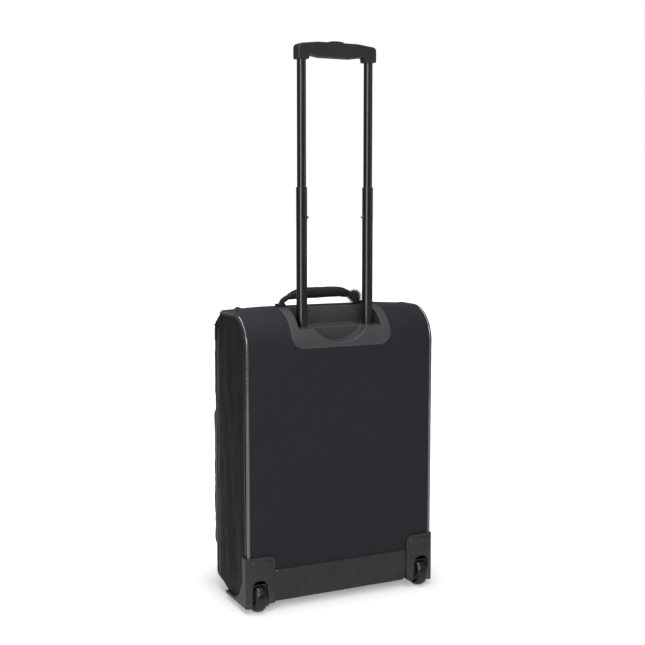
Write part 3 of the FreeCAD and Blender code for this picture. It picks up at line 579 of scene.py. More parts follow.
# Near-black, used only for the bead round the handle trim: a painted shadow in the gap between the trim and
# the cloth.
PAINTED_SHADOW_BLACK = plastic_material("painted_shadow_bead", srgb(8, 8, 8), srgb(14, 14, 14), (0.5, 0.65), 700, 0.02 * MM, wear=0.0)
ZIP_TAPE = cloth_material("zip_tape", srgb(26, 26, 28), srgb(36, 36, 38), 0.6 * MM, 0.05 * MM,
                          (0.6, 0.75), 0.3)
ZIP_COIL = plastic_material("zip_coil", srgb(22, 22, 23), srgb(34, 34, 35), (0.3, 0.45), 900,
                            0.02 * MM, wear=0.15)
WEBBING = webbing_material("webbing")
FUR = fibre_material("fur", srgb(14, 14, 15), srgb(40, 39, 40))
THREAD = thread_material("thread", srgb(44, 43, 46), srgb(78, 77, 80))


# ---- the soft panels of the case ----
def drum(x, s):
    """The back cloth's stand-off: a slight crown, broad dents, and puckers beside the piping."""
    edge = X_HALF - abs(x)
    crown = 1.1 * MM * min(1.0, edge / (60 * MM))
    dents = 0.9 * MM * ripple(x, s, 0.3, 0.11) * min(1.0, edge / (40 * MM))
    pucker = 0.28 * MM * math.sin(s / (5.5 * MM) + 4 * ripple(x, s, 2.0, 0.05)) * math.exp(-edge / (9 * MM))
    return crown + dents + pucker


def back_cloth():
    """One panel from behind the kick plate up the back, over the top and forward to the zip."""
    inset = 0.2 * MM
    hole_x, hole_low, hole_depth = 88 * MM, 456.5 * MM, 64 * MM
    s_low, s_high = CASE.near(0, hole_low), CASE.near(hole_depth, TOP)
    xs = spaced(-X_HALF + inset, X_HALF - inset, 4 * MM, -hole_x, hole_x)
    ss = spaced(S_KICK_TOP - 4 * MM, S_RIM_TOP, 4 * MM, s_low, s_high)
    verts = []
    for s in ss:
        for x in xs:
            lift = drum(x, s) * smooth_step(S_KICK_TOP - 4 * MM, S_KICK_TOP + 25 * MM, s)
            lift *= 1 - smooth_step(S_RIM_TOP - 25 * MM, S_RIM_TOP, s)
            verts.append(soften(off_case(x, s, lift)))
    faces = []
    for face in grid_faces(len(ss), len(xs)):
        i, j = divmod(face[0], len(xs))
        x, s = (xs[j] + xs[j + 1]) / 2, (ss[i] + ss[i + 1]) / 2
        if not (abs(x) < hole_x and s_low < s < s_high):
            faces.append(face)
    obj = add_mesh("back_cloth", verts, faces, NYLON)
    return finish_piece(thicken(obj, CLOTH, 1), "case", "nylon", "back_panel", "top_panel")


def side_patch(u, v):
    """A point of the side panel: u from back to front, v from base to top."""
    corner_low = CASE.near(BASE_R * CORNER_MIDDLE, BASE + BASE_R * CORNER_MIDDLE)
    corner_high = CASE.near(BACK_TOP_R * CORNER_MIDDLE, TOP - BACK_TOP_R * CORNER_MIDDLE)
    s_base = CASE.near(RIM, BASE)

    def rear(t):
        return np.array(CASE.at(corner_low + (corner_high - corner_low) * t)[0])

    def over(t):
        return np.array(CASE.at(corner_high + (S_RIM_TOP - corner_high) * t)[0])

    def under(t):
        return np.array(CASE.at(corner_low + CASE.length - (corner_low + CASE.length - s_base) * t)[0])

    def fore(t):
        low, high = under(1.0), over(1.0)
        return low + (high - low) * t

    p00, p10, p01, p11 = rear(0), under(1.0), rear(1), over(1.0)
    edges = (1 - v) * under(u) + v * over(u) + (1 - u) * rear(v) + u * fore(v)
    return edges - ((1 - u) * (1 - v) * p00 + u * (1 - v) * p10 + (1 - u) * v * p01 + u * v * p11)


def side_lift(depth, z, u, v, side):
    """The side cloth's stand-off: it bellies, with long soft folds down from the top and along the seam."""
    hem = min(1.0, u * 5, (1 - u) * 4) * min(1.0, min(v, 1 - v) * 12)
    belly = 2.2 * MM * math.sin(math.pi * u ** 1.15) * math.sin(math.pi * v) * smooth_step(1.0, 0.9, u)
    folds = 2.4 * MM * ripple(depth * 2.4 + side, z * 0.55, 4.0 * side, 0.06)
    small = 0.7 * MM * ripple(depth * 1.5, z, 9.0 * side, 0.028)
    tuck = -1.0 * MM * smooth_step(0.94, 1.0, u)
    return belly + (folds + small) * hem + tuck


def side_cloth(side, name):
    us = spaced(0, 1, 0.028)
    vs = spaced(0, 1, 0.0085)
    verts = []
    for v in vs:
        for u in us:
            depth, z = side_patch(u, v)
            x = side * (X_HALF + side_lift(depth, z, u, v, side))
            verts.append(soften(at(x, depth, z), abs(x) - X_HALF))
    faces = grid_faces(len(vs), len(us))
    if side < 0:
        faces = [f[::-1] for f in faces]
    # In the darker copy of the nylon: painted shade on the side panel.
    obj = add_mesh("side_cloth_" + name, verts, faces, NYLON_SIDE_SHADED)
    return finish_piece(thicken(obj, CLOTH, 1), "case", "nylon", "side_panel_" + name)


def bottom_cloth():
    s0, s1 = CASE.near(RIM, BASE), CASE.length + CASE.near(0, KICK_TOP - 20 * MM)
    xs = spaced(-X_HALF, X_HALF, 6 * MM)
    verts = []
    rows = spaced(s0, s1, 6 * MM)
    for s in rows:
        for x in xs:
            verts.append(soften(off_case(x, s, -0.8 * MM * (0.5 + 0.5 * ripple(x, s, 7.0, 0.07)))))
    obj = add_mesh("bottom_cloth", verts, grid_faces(len(rows), len(xs)), LEATHERETTE)
    return finish_piece(thicken(obj, CLOTH, 1), "case", "leatherette", "bottom_panel")


def piping(side, name):
    """Welt: a filled vinyl cord along the edge, with the bead of its seam beside it on the side panel."""
    s0, s1 = CASE.near(0, HOUSING_TOP - 3 * MM), S_RIM_TOP - 3 * MM
    points = [soften(off_case(side * X_HALF, s, 0), 0.6 * MM) for s in spaced(s0, s1, 2.5 * MM)]

    def section(i):
        swell = 1 + 0.025 * math.sin(i * 1.7) + 0.02 * math.sin(i * 0.45)
        return circle(PIPING_R * swell, 20)

    obj = sweep("piping_" + name + "_cord", points, section, VINYL, up=Vector((side, 0, 0)))
    finish_piece(obj, "case", "leatherette", "piping_" + name)
    inner = []
    for s in spaced(s0, s1 - 4 * MM, 2.5 * MM):
        (depth, z), n = CASE.at(s)
        width = FLANGE * (1 - 0.6 * smooth_step(0.1, 0.9, n[1]))
        depth, z = depth - n[0] * width, z - n[1] * width
        v = (z - BASE) / (TOP - BASE)
        x = side * (X_HALF + side_lift(depth, z, SEAM_SHARE, min(v, 0.985), side) + 0.5 * MM)
        inner.append(soften(at(x, depth, z), 2 * MM))
    bead = sweep("seam_" + name + "_cord", inner, lambda i: circle(1.1 * MM, 12), VINYL,
                 up=Vector((side, 0, 0)))
    finish_piece(bead, "case", "leatherette")
    ups = [Vector((side, 0, 0))] * len(inner)
    beside = [p + Vector((0, -2.6 * MM, 0)) for p in inner]
    stitch_row(("stitches_case", "case"), beside, ups)


# ---- stitches ----
STITCHES = {}


def stitch_row(batch, points, normals, pitch=3.4 * MM, length=2.5 * MM, radius=0.28 * MM):
    """Adds a row of stitches along a path to a batch, which becomes one piece."""
    verts, faces = STITCHES.setdefault(batch, ([], []))
    walked = [0.0]
    for p, q in zip(points, points[1:]):
        walked.append(walked[-1] + (q - p).length)
    count = int(walked[-1] / pitch)
    index = 0
    for k in range(count):
        middle = (k + 0.5) * pitch
        while index < len(points) - 2 and walked[index + 1] < middle:
            index += 1
        share = (middle - walked[index]) / max(1e-9, walked[index + 1] - walked[index])
        centre = points[index].lerp(points[index + 1], share)
        up = normals[index].lerp(normals[index + 1], share).normalized()
        along = (points[index + 1] - points[index]).normalized()
        across = up.cross(along).normalized()
        base = len(verts)
        for t, size, sink in ((-0.5, 0.35, -0.5), (-0.3, 1.0, 0.15), (0.3, 1.0, 0.15), (0.5, 0.35, -0.5)):
            middle_point = centre + along * (t * length) + up * (radius * sink)
            for a in range(5):
                angle = 2 * math.pi * a / 5
                verts.append(middle_point + (across * math.cos(angle) + up * math.sin(angle)) * radius * size)
        faces += [tuple(base + i for i in f) for f in tube_faces(4, 5)]


def sew():
    """Makes one piece of each batch of stitches."""
    for (name, body), (verts, faces) in STITCHES.items():
        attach(add_mesh(name, verts, faces, THREAD), body)


# ---- kick plate ----
def kick_plate():
    """Leatherette skin over the lower back edge, its top turned over and sewn."""
    s0, s1 = CASE.length - (50 * MM - BASE_R), CASE.length + S_KICK_TOP
    xs = spaced(-KICK_HALF, KICK_HALF, 5 * MM)
    rows = spaced(s0, s1, 2.5 * MM)
    verts = []
    for s in rows:
        fold = math.exp(-((s1 - s - 2 * MM) / (2.0 * MM)) ** 2) * 1.3 * MM
        dip = -0.5 * MM * math.exp(-((s1 - s - 6 * MM) / (1.5 * MM)) ** 2)
        for x in xs:
            lift = KICK_PROUD - 0.25 * MM + fold + dip + 0.35 * MM * ripple(x, s, 3.0, 0.05)
            verts.append(off_case(x, s, lift))
    obj = add_mesh("kick_plate_skin", verts, grid_faces(len(rows), len(xs)), LEATHERETTE)
    thicken(obj, KICK_PROUD * 0.9, 1)
    sewn = spaced(-KICK_HALF + 3 * MM, KICK_HALF - 3 * MM, 3 * MM)
    seam = [off_case(x, s1 - 6 * MM, KICK_PROUD - 0.6 * MM) for x in sewn]
    stitch_row(("stitches_case", "case"), seam, [Vector((0, 1, 0))] * len(seam))
    line = [off_case(x, s1, 1.5 * MM) for x in spaced(-KICK_HALF, KICK_HALF, 5 * MM)]
    cord = sweep("kick_plate_cord", line, lambda i: circle(1.3 * MM, 10), VINYL)
    finish_piece(cord, "case", "leatherette")
    return finish_piece(obj, "case", "leatherette", "kick_plate")


# ---- moulded parts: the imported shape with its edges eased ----
def moulded(name, node, material, voxel, rounds):
    obj = link(bpy.data.objects.new(name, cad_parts[node].data.copy()))
    obj.data.materials.clear()
    obj.data.materials.append(material)
    remesh = obj.modifiers.new("remesh", "REMESH")
    remesh.mode = "VOXEL"
    remesh.voxel_size = voxel
    ease = obj.modifiers.new("ease", "SMOOTH")
    ease.factor = 0.5
    ease.iterations = rounds
    return applied(obj)


def wheel_housing(name):
    obj = moulded("wheel_housing_" + name + "_shell", "wheel_housing_" + name, HOUSING_PLASTIC, 0.8 * MM, 2)
    return finish_piece(obj, "case", "moulded_plastic", "wheel_housing_" + name)


def handle_trim():
    obj = moulded("handle_trim", "handle_housing", TRIM_PLASTIC, 0.9 * MM, 5)
    return finish_piece(obj, "case", "moulded_plastic", "handle_housing")


def trim_shadow_bead():
    """A near-black cord round the trim's outline: a painted shadow standing in for the shade in the gap
    between the trim and the cloth.
    """
    low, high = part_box("handle_housing")
    half, corner = high.x + 0.9 * MM, 24 * MM
    s_base, s_top = CASE.near(0, low.z) + 0.4 * MM, CASE.near(BACK - low.y, TOP)
    flat = [(half, s_top)] + [(half, s) for s in spaced(s_base + corner, s_top, 3 * MM)[::-1]]
    for k in range(1, 13):
        a = math.pi / 2 * k / 12
        flat.append((half - corner * (1 - math.cos(a)), s_base + corner * (1 - math.sin(a))))
    flat += [(x, s_base) for x in spaced(-half + corner, half - corner, 4 * MM)[::-1][1:-1]]
    flat += [(-x, s) for x, s in flat[:-1][::-1] if x > half - corner - 0.1 * MM]
    points = [off_case(x, s, 1.6 * MM) for x, s in flat]
    bead = sweep("trim_shadow_bead", points, lambda i: circle(1.3 * MM, 10), PAINTED_SHADOW_BLACK)
    return finish_piece(bead, "case", "moulded_plastic")


def grip():
    body = moulded("grip_shell", "grip_body", GRIP_PLASTIC, 0.7 * MM, 4)
    finish_piece(body, "inner_stage", "grip_plastic", "grip_body")
    under = moulded("grip_under_shell", "grip_underside", GRIP_PLASTIC, 0.7 * MM, 3)
    finish_piece(under, "inner_stage", "grip_plastic", "grip_underside")
    button = moulded("release_button_cap", "release_button", GLOSS_PLASTIC, 0.5 * MM, 3)
    finish_piece(button, "release", "gloss_plastic", "release_button")


# ---- wheels ----
def wheel(name):
    low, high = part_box("wheel_tyre_" + name)
    centre = (low + high) / 2
    half = (high.x - low.x) / 2
    outer = (high.z - low.z) / 2
    hub_r = 17.5 * MM
    shoulder = outer - 5.6 * MM
    ring = [(-half + 0.4 * MM, hub_r), (-half, hub_r + 0.6 * MM)]
    for k in range(33):
        along = -math.cos(math.pi * k / 32)
        crown = (1 - abs(along) ** 2.2) ** (1 / 2.2)
        groove = 0.4 * MM * math.exp(-(along * half / (1.1 * MM)) ** 2)
        ring.append((along * half, shoulder + (outer - shoulder) * crown - groove))
    ring += [(half, hub_r + 0.6 * MM), (half - 0.4 * MM, hub_r)]
    tyre = turned("tyre_" + name, ring, centre, TYRE, 128)
    finish_piece(tyre, "wheel_" + name, "tyre", "wheel_tyre_" + name)
    hub = spoked_hub(name, centre, hub_r)
    finish_piece(hub, "wheel_" + name, "gloss_plastic", "wheel_hub_" + name)


def spoked_hub(name, centre, hub_r):
    """A dished hub with five raised spokes and a domed cap on each face."""
    half, web = 9 * MM, 5.5 * MM
    bore, lip = 11 * MM, 1.6 * MM
    count, turns = 120, 5
    verts = []
    rows = [bore, bore + lip, bore + lip + 0.6 * MM,
            hub_r - lip - 0.6 * MM, hub_r - lip, hub_r - 0.2 * MM, hub_r]
    for k in range(count):
        a = 2 * math.pi * k / count
        spoke = max(0.0, math.cos(turns * a)) ** 0.5
        loop = []
        for way in (-1, 1):
            face = []
            for i, r in enumerate(rows):
                if i in (2, 3):
                    dish = web + (half - 0.8 * MM - web) * spoke
                else:
                    dish = half - (0.5 * MM if i == 6 else 0)
                face.append((way * dish, r))
            loop += face if way < 0 else face[::-1]
        for along, r in loop:
            verts.append(centre + Vector((along, r * math.cos(a), r * math.sin(a))))
    faces = grid_faces(count, len(rows) * 2, wrap_rows=True, wrap_cols=True)
    return add_mesh("hub_" + name, verts, faces, GLOSS_PLASTIC)


# ---- soft shells ----
def box_ring(half, low, high, radius):
    """Points and outward normals round a rounded rectangle in x and z, the same number for any size."""
    points, normals = [], []
    across, upright = 64, 84
    turns = 8
    corners = [(half - radius, low + radius, -90), (half - radius, high - radius, 0),
               (-half + radius, high - radius, 90), (-half + radius, low + radius, 180)]
    for i, (cx, cz, start) in enumerate(corners):
        for k in range(turns + 1):
            a = math.radians(start + 90 * k / turns)
            points.append((cx + radius * math.cos(a), cz + radius * math.sin(a)))
            normals.append((math.cos(a), math.sin(a)))
        nx, nz, _ = corners[(i + 1) % 4]
        a = math.radians(start + 90)
        begin = points[-1]
        end = (nx + radius * math.cos(a), nz + radius * math.sin(a))
        count = upright if i in (0, 2) else across
        for k in range(1, count):
            points.append(tuple(p + (q - p) * k / count for p, q in zip(begin, end)))
            normals.append((math.cos(a), math.sin(a)))
    return points, normals


def lid_half_at(depth):
    into = max(0.0, depth - (LID_DEPTH - LID_EDGE_R))
    return X_HALF - LID_EDGE_R + math.sqrt(max(0.0, LID_EDGE_R ** 2 - into ** 2))


def ring_at(depth, half, low, high, radius, inset=0.0):
    """A rounded rectangle of points at one depth, drawn in by an inset."""
    points, _ = box_ring(half - inset, low + inset, high - inset, radius)
    return [at(x, depth, z) for x, z in points]


def lid_ring(depth):
    return ring_at(depth, lid_half_at(depth), base_at(depth), top_at(depth), CORNER_R)


def relieve(obj, lift):
    """Moves each point along its own normal by what lift says for its place."""
    moves = [(v.index, v.normal.copy(), lift(v.co)) for v in obj.data.vertices]
    for index, normal, by in moves:
        obj.data.vertices[index].co += normal * by
    return obj


def rings_to_mesh(name, rings, material, cap=False):
    count = len(rings[0])
    verts = [p for ring in rings for p in ring]
    faces = [f[::-1] for f in grid_faces(len(rings), count, wrap_cols=True)]
    if cap:
        base = (len(rings) - 1) * count
        foot = min(range(count), key=lambda i: (rings[-1][i].z, abs(rings[-1][i].x)))
        for k in range(count // 2):
            right = (base + (foot + k) % count, base + (foot + k + 1) % count)
            left = (base + (foot - k - 1) % count, base + (foot - k) % count)
            corners = dict.fromkeys(right + left)
            faces.append(tuple(corners))
    obj = add_mesh(name, verts, faces, material)
    shell = bmesh.new()
    shell.from_mesh(obj.data)
    bmesh.ops.recalc_face_normals(shell, faces=shell.faces)
    if sum(f.normal.y * f.calc_area() for f in shell.faces) > 0:
        bmesh.ops.reverse_faces(shell, faces=shell.faces)
    shell.to_mesh(obj.data)
    shell.free()
    return obj


def lid_gusset():
    """The band between the zip and the lid's face."""
    depths = spaced(LID_RIM, LID_SEAM, 1.8 * MM)
    # In the darker copy of the nylon: painted shade on the lid's band.
    obj = rings_to_mesh("lid_gusset_cloth", [lid_ring(d) for d in depths], NYLON_SIDE_SHADED)

    def lift(p):
        hem = smooth_step(0, 3 * MM, BACK - p.y - LID_RIM) * smooth_step(0, 2 * MM, p.y - (BACK - LID_SEAM))
        return hem * (0.5 * MM + 0.5 * MM * ripple(p.x, p.y * 3, p.z, 0.03))

    relieve(obj, lift)
    return finish_piece(thicken(obj, CLOTH, 1), "lid", "nylon", "lid_gusset")


def lid_front():
    """The lid's face: it turns the top, base and side edges, and bears the pockets."""
    rings = []
    turns = 14
    for k in range(turns + 1):
        lean = math.sin(math.pi / 2 * k / turns)
        rings.append(lid_ring(LID_SEAM + (LID_DEPTH - LID_SEAM) * lean))
    half, low, high = lid_half_at(LID_DEPTH), base_at(LID_DEPTH), top_at(LID_DEPTH)
    for inset in spaced(6 * MM, half - 8 * MM, 7 * MM):
        rings.append(ring_at(LID_DEPTH, half, low, high, max(2 * MM, CORNER_R - inset), inset))
    obj = rings_to_mesh("lid_front_cloth", rings, NYLON, cap=True)

    def lift(p):
        hem = smooth_step(0, 3 * MM, BACK - LID_SEAM - p.y)
        broad, fine = ripple(p.x, p.y, p.z, 0.05), ripple(p.x, p.y, p.z, 0.017)
        return hem * (0.6 * MM + 0.8 * MM * broad + 0.3 * MM * fine)

    relieve(obj, lift)
    return finish_piece(thicken(obj, CLOTH, 1), "lid", "nylon", "lid_front_panel")


def lid_welt():
    """Thin welt in the seam between the lid's band and its face."""
    obj = ring_cord("lid_welt", lid_ring(LID_SEAM), 1.3 * MM, VINYL)
    return finish_piece(obj, "lid", "leatherette")


def ring_cord(name, ring, radius, material, count=8):
    """A cord along a closed ring of points in a plane of one depth."""
    verts = []
    total = len(ring)
    for i, p in enumerate(ring):
        ahead = (ring[(i + 1) % total] - ring[i - 1]).normalized()
        side = Vector((0, 1, 0)).cross(ahead).normalized()
        for a, b in circle(radius, count):
            verts.append(p + side * a + Vector((0, b, 0)))
    return add_mesh(name, verts, grid_faces(total, count, wrap_rows=True, wrap_cols=True), material)


# ---- cloth by simulation ----
def puffed(obj, pinned, pressure, cap, shrink):
    """Blows a shell up with Blender's cloth, holds the pinned points, and caps how far any point may move."""
    stiffness, frames = 12.0, 20
    rest = [v.co.copy() for v in obj.data.vertices]
    group = obj.vertex_groups.new(name="held")
    for v in obj.data.vertices:
        weight = pinned(v.co)
        if weight > 0:
            group.add([v.index], weight, "REPLACE")
    cloth = obj.modifiers.new("cloth", "CLOTH")
    settings = cloth.settings
    settings.vertex_group_mass = "held"
    settings.quality = 5
    settings.mass = 0.3
    settings.tension_stiffness = stiffness
    settings.compression_stiffness = stiffness
    settings.shear_stiffness = stiffness / 2
    settings.bending_stiffness = 0.6
    settings.use_pressure = True
    settings.uniform_pressure_force = pressure
    settings.shrink_min = shrink
    settings.effector_weights.gravity = 0.0
    cloth.collision_settings.use_collision = False
    scene = bpy.context.scene
    for number in range(1, frames + 1):
        scene.frame_set(number)
    graph = bpy.context.evaluated_depsgraph_get()
    result = obj.evaluated_get(graph)
    blown = [v.co.copy() for v in result.data.vertices]
    obj.modifiers.remove(cloth)
    scene.frame_set(1)
    for v, start, end in zip(obj.data.vertices, rest, blown):
        move = end - start
        if move.length > cap:
            move = move * (cap / move.length)
        v.co = start + move
    obj.vertex_groups.clear()


def pocket(name, node, pull):
    """A full pocket on the lid's face, with a gusset and welts, kept flat at the height of its zip's pull."""
    low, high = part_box(node)
    front, half, middle = BACK - low.y, high.x, (low.z + high.z) / 2
    pull_z = (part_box(pull)[0].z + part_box(pull)[1].z) / 2
    depths = spaced(LID_DEPTH - 1 * MM, front - SHOULDER, 4 * MM)
    rings = [ring_at(d, half, low.z, high.z, POCKET_R) for d in depths]
    turns = 8
    for k in range(1, turns + 1):
        a = math.pi / 2 * k / turns
        inset = SHOULDER * (1 - math.cos(a))
        depth = front - SHOULDER * (1 - math.sin(a))
        rings.append(ring_at(depth, half, low.z, high.z, POCKET_R - inset, inset))
        if k == turns // 2:
            inward = inset + 0.4 * MM
            welt = ring_at(front - inward, half, low.z, high.z, POCKET_R - inset, inward)
    for inset in spaced(SHOULDER + 5 * MM, min(half, (high.z - low.z) / 2) - 4 * MM, 5.5 * MM):
        rings.append(ring_at(front, half, low.z, high.z, max(1.5 * MM, POCKET_R - inset), inset))
    obj = rings_to_mesh(name, rings, NYLON, cap=True)

    def on_welt(p):
        past_x = abs(p.x) - (half - SHOULDER)
        past_z = abs(p.z - middle) - ((high.z - low.z) / 2 - SHOULDER)
        return abs(max(past_x, past_z) - WELT_OUT) < 0.8 * MM and p.y < BACK - front + POCKET_R * 0.3

    def pinned(p):
        at_back = p.y > BACK - LID_DEPTH - 0.5 * MM
        by_pull = abs(p.z - pull_z) < 7 * MM and p.y < BACK - front + 2 * MM
        return 1.0 if at_back or by_pull or on_welt(p) else 0.0

    def lift(p):
        away = smooth_step(5 * MM, 14 * MM, abs(p.z - pull_z))
        hem = smooth_step(0, 8 * MM, BACK - LID_DEPTH - p.y)
        broad, fine = ripple(p.x, p.y, p.z, 0.045), ripple(p.x, p.y, p.z, 0.016)
        return away * hem * (1.1 * MM * broad + 0.4 * MM * fine)

    puffed(obj, pinned, 5.0, 9 * MM, shrink=-0.012)
    relieve(obj, lift)
    thicken(obj, 1.0 * MM, 1)
    base = ring_at(LID_DEPTH + 1.2 * MM, half, low.z, high.z, POCKET_R)
    cords = [ring_cord("base_cord", base, 1.4 * MM, VINYL), ring_cord("edge_cord", welt, 1.6 * MM, VINYL)]
    finish_piece(join(name + "_welt", cords), "lid", "leatherette")
    return finish_piece(obj, "lid", "nylon", node)


# ---- zips ----
def zip_path_main():
    """The main zip's line, from the hinge side over the top, down the right side and back below."""
    hinge = 158 * MM
    points, normals = box_ring(X_HALF, base_at(ZIP_DEPTH), top_at(ZIP_DEPTH), CORNER_R)
    path = []
    for (x, z), n in zip(points, normals):
        path.append((at(x, ZIP_DEPTH, z), Vector((n[0], 0, n[1]))))

    def by_hinge_on_top(i):
        p = path[i][0]
        return (p.z > TOP - 20 * MM, -abs(p.x + hinge))

    start = max(range(len(path)), key=by_hinge_on_top)
    ordered = path[start::-1] + path[:start:-1]
    stop = next(i for i, (p, n) in enumerate(ordered) if i > 20 and p.x < -hinge)
    return ordered[:stop]


def walk(path, pitch):
    """Evenly spaced (point, normal, direction) along a path of (point, normal)."""
    result = []
    gone, due = 0.0, 0.0
    for (p, n), (q, m) in zip(path, path[1:]):
        length = (q - p).length
        while due <= gone + length and length > 0:
            t = (due - gone) / length
            result.append((p.lerp(q, t), n.lerp(m, t).normalized(), (q - p).normalized()))
            due += pitch
        gone += length
    return result


def zip_tape(name, path, across, width, body):
    """One half of a zip's tape, from its teeth out to under the sewn edge."""
    verts, lift = [], 0.35 * MM
    steps = walk(path, 4 * MM)
    for p, n, _ in steps:
        for share, height in ((0.0, lift), (0.5, lift + 0.1 * MM), (1.0, lift)):
            verts.append(p + across * (width * share) + n * height)
    obj = add_mesh(name, verts, grid_faces(len(steps), 3), ZIP_TAPE)
    thicken(obj, 0.5 * MM, 0, 0)
    return finish_piece(obj, body, "zip")


def zip_teeth(name, path, across, body, shift):
    """Half a coil: each turn is a bent bead reaching over the middle line."""
    verts, faces = [], []
    bends = ((2.1, 0.35, 0.3), (1.2, 0.72, 0.42), (0.1, 0.72, 0.46), (-0.45, 0.5, 0.32))
    for p, n, ahead in walk(path, TOOTH):
        middle = p + ahead * shift
        base = len(verts)
        for reach, height, size in bends:
            centre = middle + across * (reach * MM) + n * (height * MM)
            for k in range(6):
                a = math.pi / 3 * k
                verts.append(centre + (ahead * math.cos(a) + n * math.sin(a)) * (size * MM))
        faces += [tuple(base + i for i in f) for f in tube_faces(4, 6)]
    obj = add_mesh(name, verts, faces, ZIP_COIL)
    return finish_piece(obj, body, "zip")


def main_zip():
    path = zip_path_main()
    steps = walk(path, 3 * MM)
    for sign, body, shift in ((1, "case", 0), (-1, "lid", TOOTH / 2)):
        across = Vector((0, sign, 0))
        tape = zip_tape("zip_tape_" + body, path, across, MAIN_TAPE, body)
        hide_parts("zip_chain_" + body)
        zip_teeth("zip_teeth_" + body, path, across, body, shift)
        for out, height in ((4.6 * MM, 0.75 * MM), (8.0 * MM, 0.3 * MM)):
            points = [soften(p + across * out + n * height, 1 * MM) for p, n, _ in steps]
            stitch_row(("stitches_" + body, body), points, [n for _, n, _ in steps])


def pocket_zips():
    tapes, coils = [], []
    low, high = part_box("pocket_zip_chains")
    for node in ("pocket_main", "pocket_upper"):
        corner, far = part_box(node)
        z = far.z - POCKET_ZIP_DROP
        xs = spaced(low.x, high.x, (high.x - low.x) / 60)
        path = [(Vector((x, corner.y, z)), Vector((0, -1, 0))) for x in xs]
        for sign, shift in ((1, 0), (-1, TOOTH / 2)):
            across = Vector((0, 0, sign))
            tapes.append(zip_tape("tape_part", path, across, POCKET_TAPE, "lid"))
            coils.append(zip_teeth("coil_part", path, across, "lid", shift))
            seam = [p + Vector((0, -0.8 * MM, sign * (POCKET_TAPE + 2 * MM))) for p, n in path]
            stitch_row(("stitches_lid", "lid"), seam, [n for p, n in path])
    finish_piece(join("pocket_zip_tapes", tapes), "lid", "zip", "pocket_zip_chains")
    finish_piece(join("pocket_zip_coils", coils), "lid", "zip")


def hinge_tape():
    """Cloth hinge between the case's rim and the lid's, down the left side."""
    low, high = base_at(ZIP_DEPTH) + 16 * MM, top_at(ZIP_DEPTH) - 18 * MM
    verts = []
    depths = spaced(ZIP_DEPTH - 9 * MM, ZIP_DEPTH + 9 * MM, 1 * MM)
    rows = spaced(low, high, 6 * MM)
    for z in rows:
        for d in depths:
            x = -X_HALF - 0.9 * MM - 0.8 * MM * math.exp(-((d - ZIP_DEPTH) / (2.2 * MM)) ** 2)
            verts.append(at(x, d, z))
    # In the darker copy of the nylon: painted shade on the hinge tape.
    obj = add_mesh("hinge_tape", verts, grid_faces(len(rows), len(depths)), NYLON_SIDE_SHADED)
    thicken(obj, 0.9 * MM, 0, 0)
    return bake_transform(obj, "case", "lid", start=at(-X_HALF, ZIP_DEPTH - 3 * MM, 0.2),
                    end=at(-X_HALF, ZIP_DEPTH + 3 * MM, 0.2))


# ---- carry handle ----
def carry_line():
    """The carry handle's middle line, from anchor to anchor."""
    low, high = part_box("carry_handle_strap")
    y = (low.y + high.y) / 2
    half, pivot, crown = high.x - 6 * MM, low.z + 3 * MM, high.z - 3 * MM
    rise = crown - pivot
    bends = ((0, 0), (2, 0.24), (9, 0.54), (21, 0.8), (39, 0.96))
    side = [(half - inward * MM, share) for inward, share in bends]
    arch = [(-x, z) for x, z in side] + [(0, 0.99)] + side[::-1]
    return smooth_path([Vector((x, y, pivot + rise * z)) for x, z in arch], 2.5 * MM)


def carry_strap():
    """Webbing arch, rolled narrow where each end goes down to its anchor."""
    points = carry_line()
    total = len(points) - 1

    def section(i):
        share = min(i, total - i) / total
        neck = smooth_step(0.0, 0.05, share)
        return flat_section((8.5 + 2.5 * neck) * MM, (6.5 + 3 * neck) * MM, 6)

    obj = sweep("carry_strap_webbing", points, section, WEBBING)
    eye = ((-6, 1.9), (-6, 3.1), (-5, 3.7), (5, 3.7), (6, 3.1), (6, 1.9))
    outline = [(along * MM, radius * MM) for along, radius in eye]
    eyes = [turned("eye", outline, centre, WEBBING, 28) for centre in (points[0], points[-1])]
    whole = join("carry_strap_webbing", [obj] + eyes)
    return finish_piece(whole, "carry_handle", "webbing", "carry_handle_strap")


def smooth_path(control, spacing):
    """Points along a smooth curve through the control points."""
    result = []
    for i in range(len(control) - 1):
        p0 = control[max(i - 1, 0)]
        p1, p2 = control[i], control[i + 1]
        p3 = control[min(i + 2, len(control) - 1)]
        count = max(2, int((p2 - p1).length / spacing))
        for k in range(count):
            t = k / count
            result.append(0.5 * ((2 * p1) + (p2 - p0) * t + (2 * p0 - 5 * p1 + 4 * p2 - p3) * t * t
                                 + (3 * p1 - p0 - 3 * p2 + p3) * t ** 3))
    result.append(control[-1].copy())
    return result


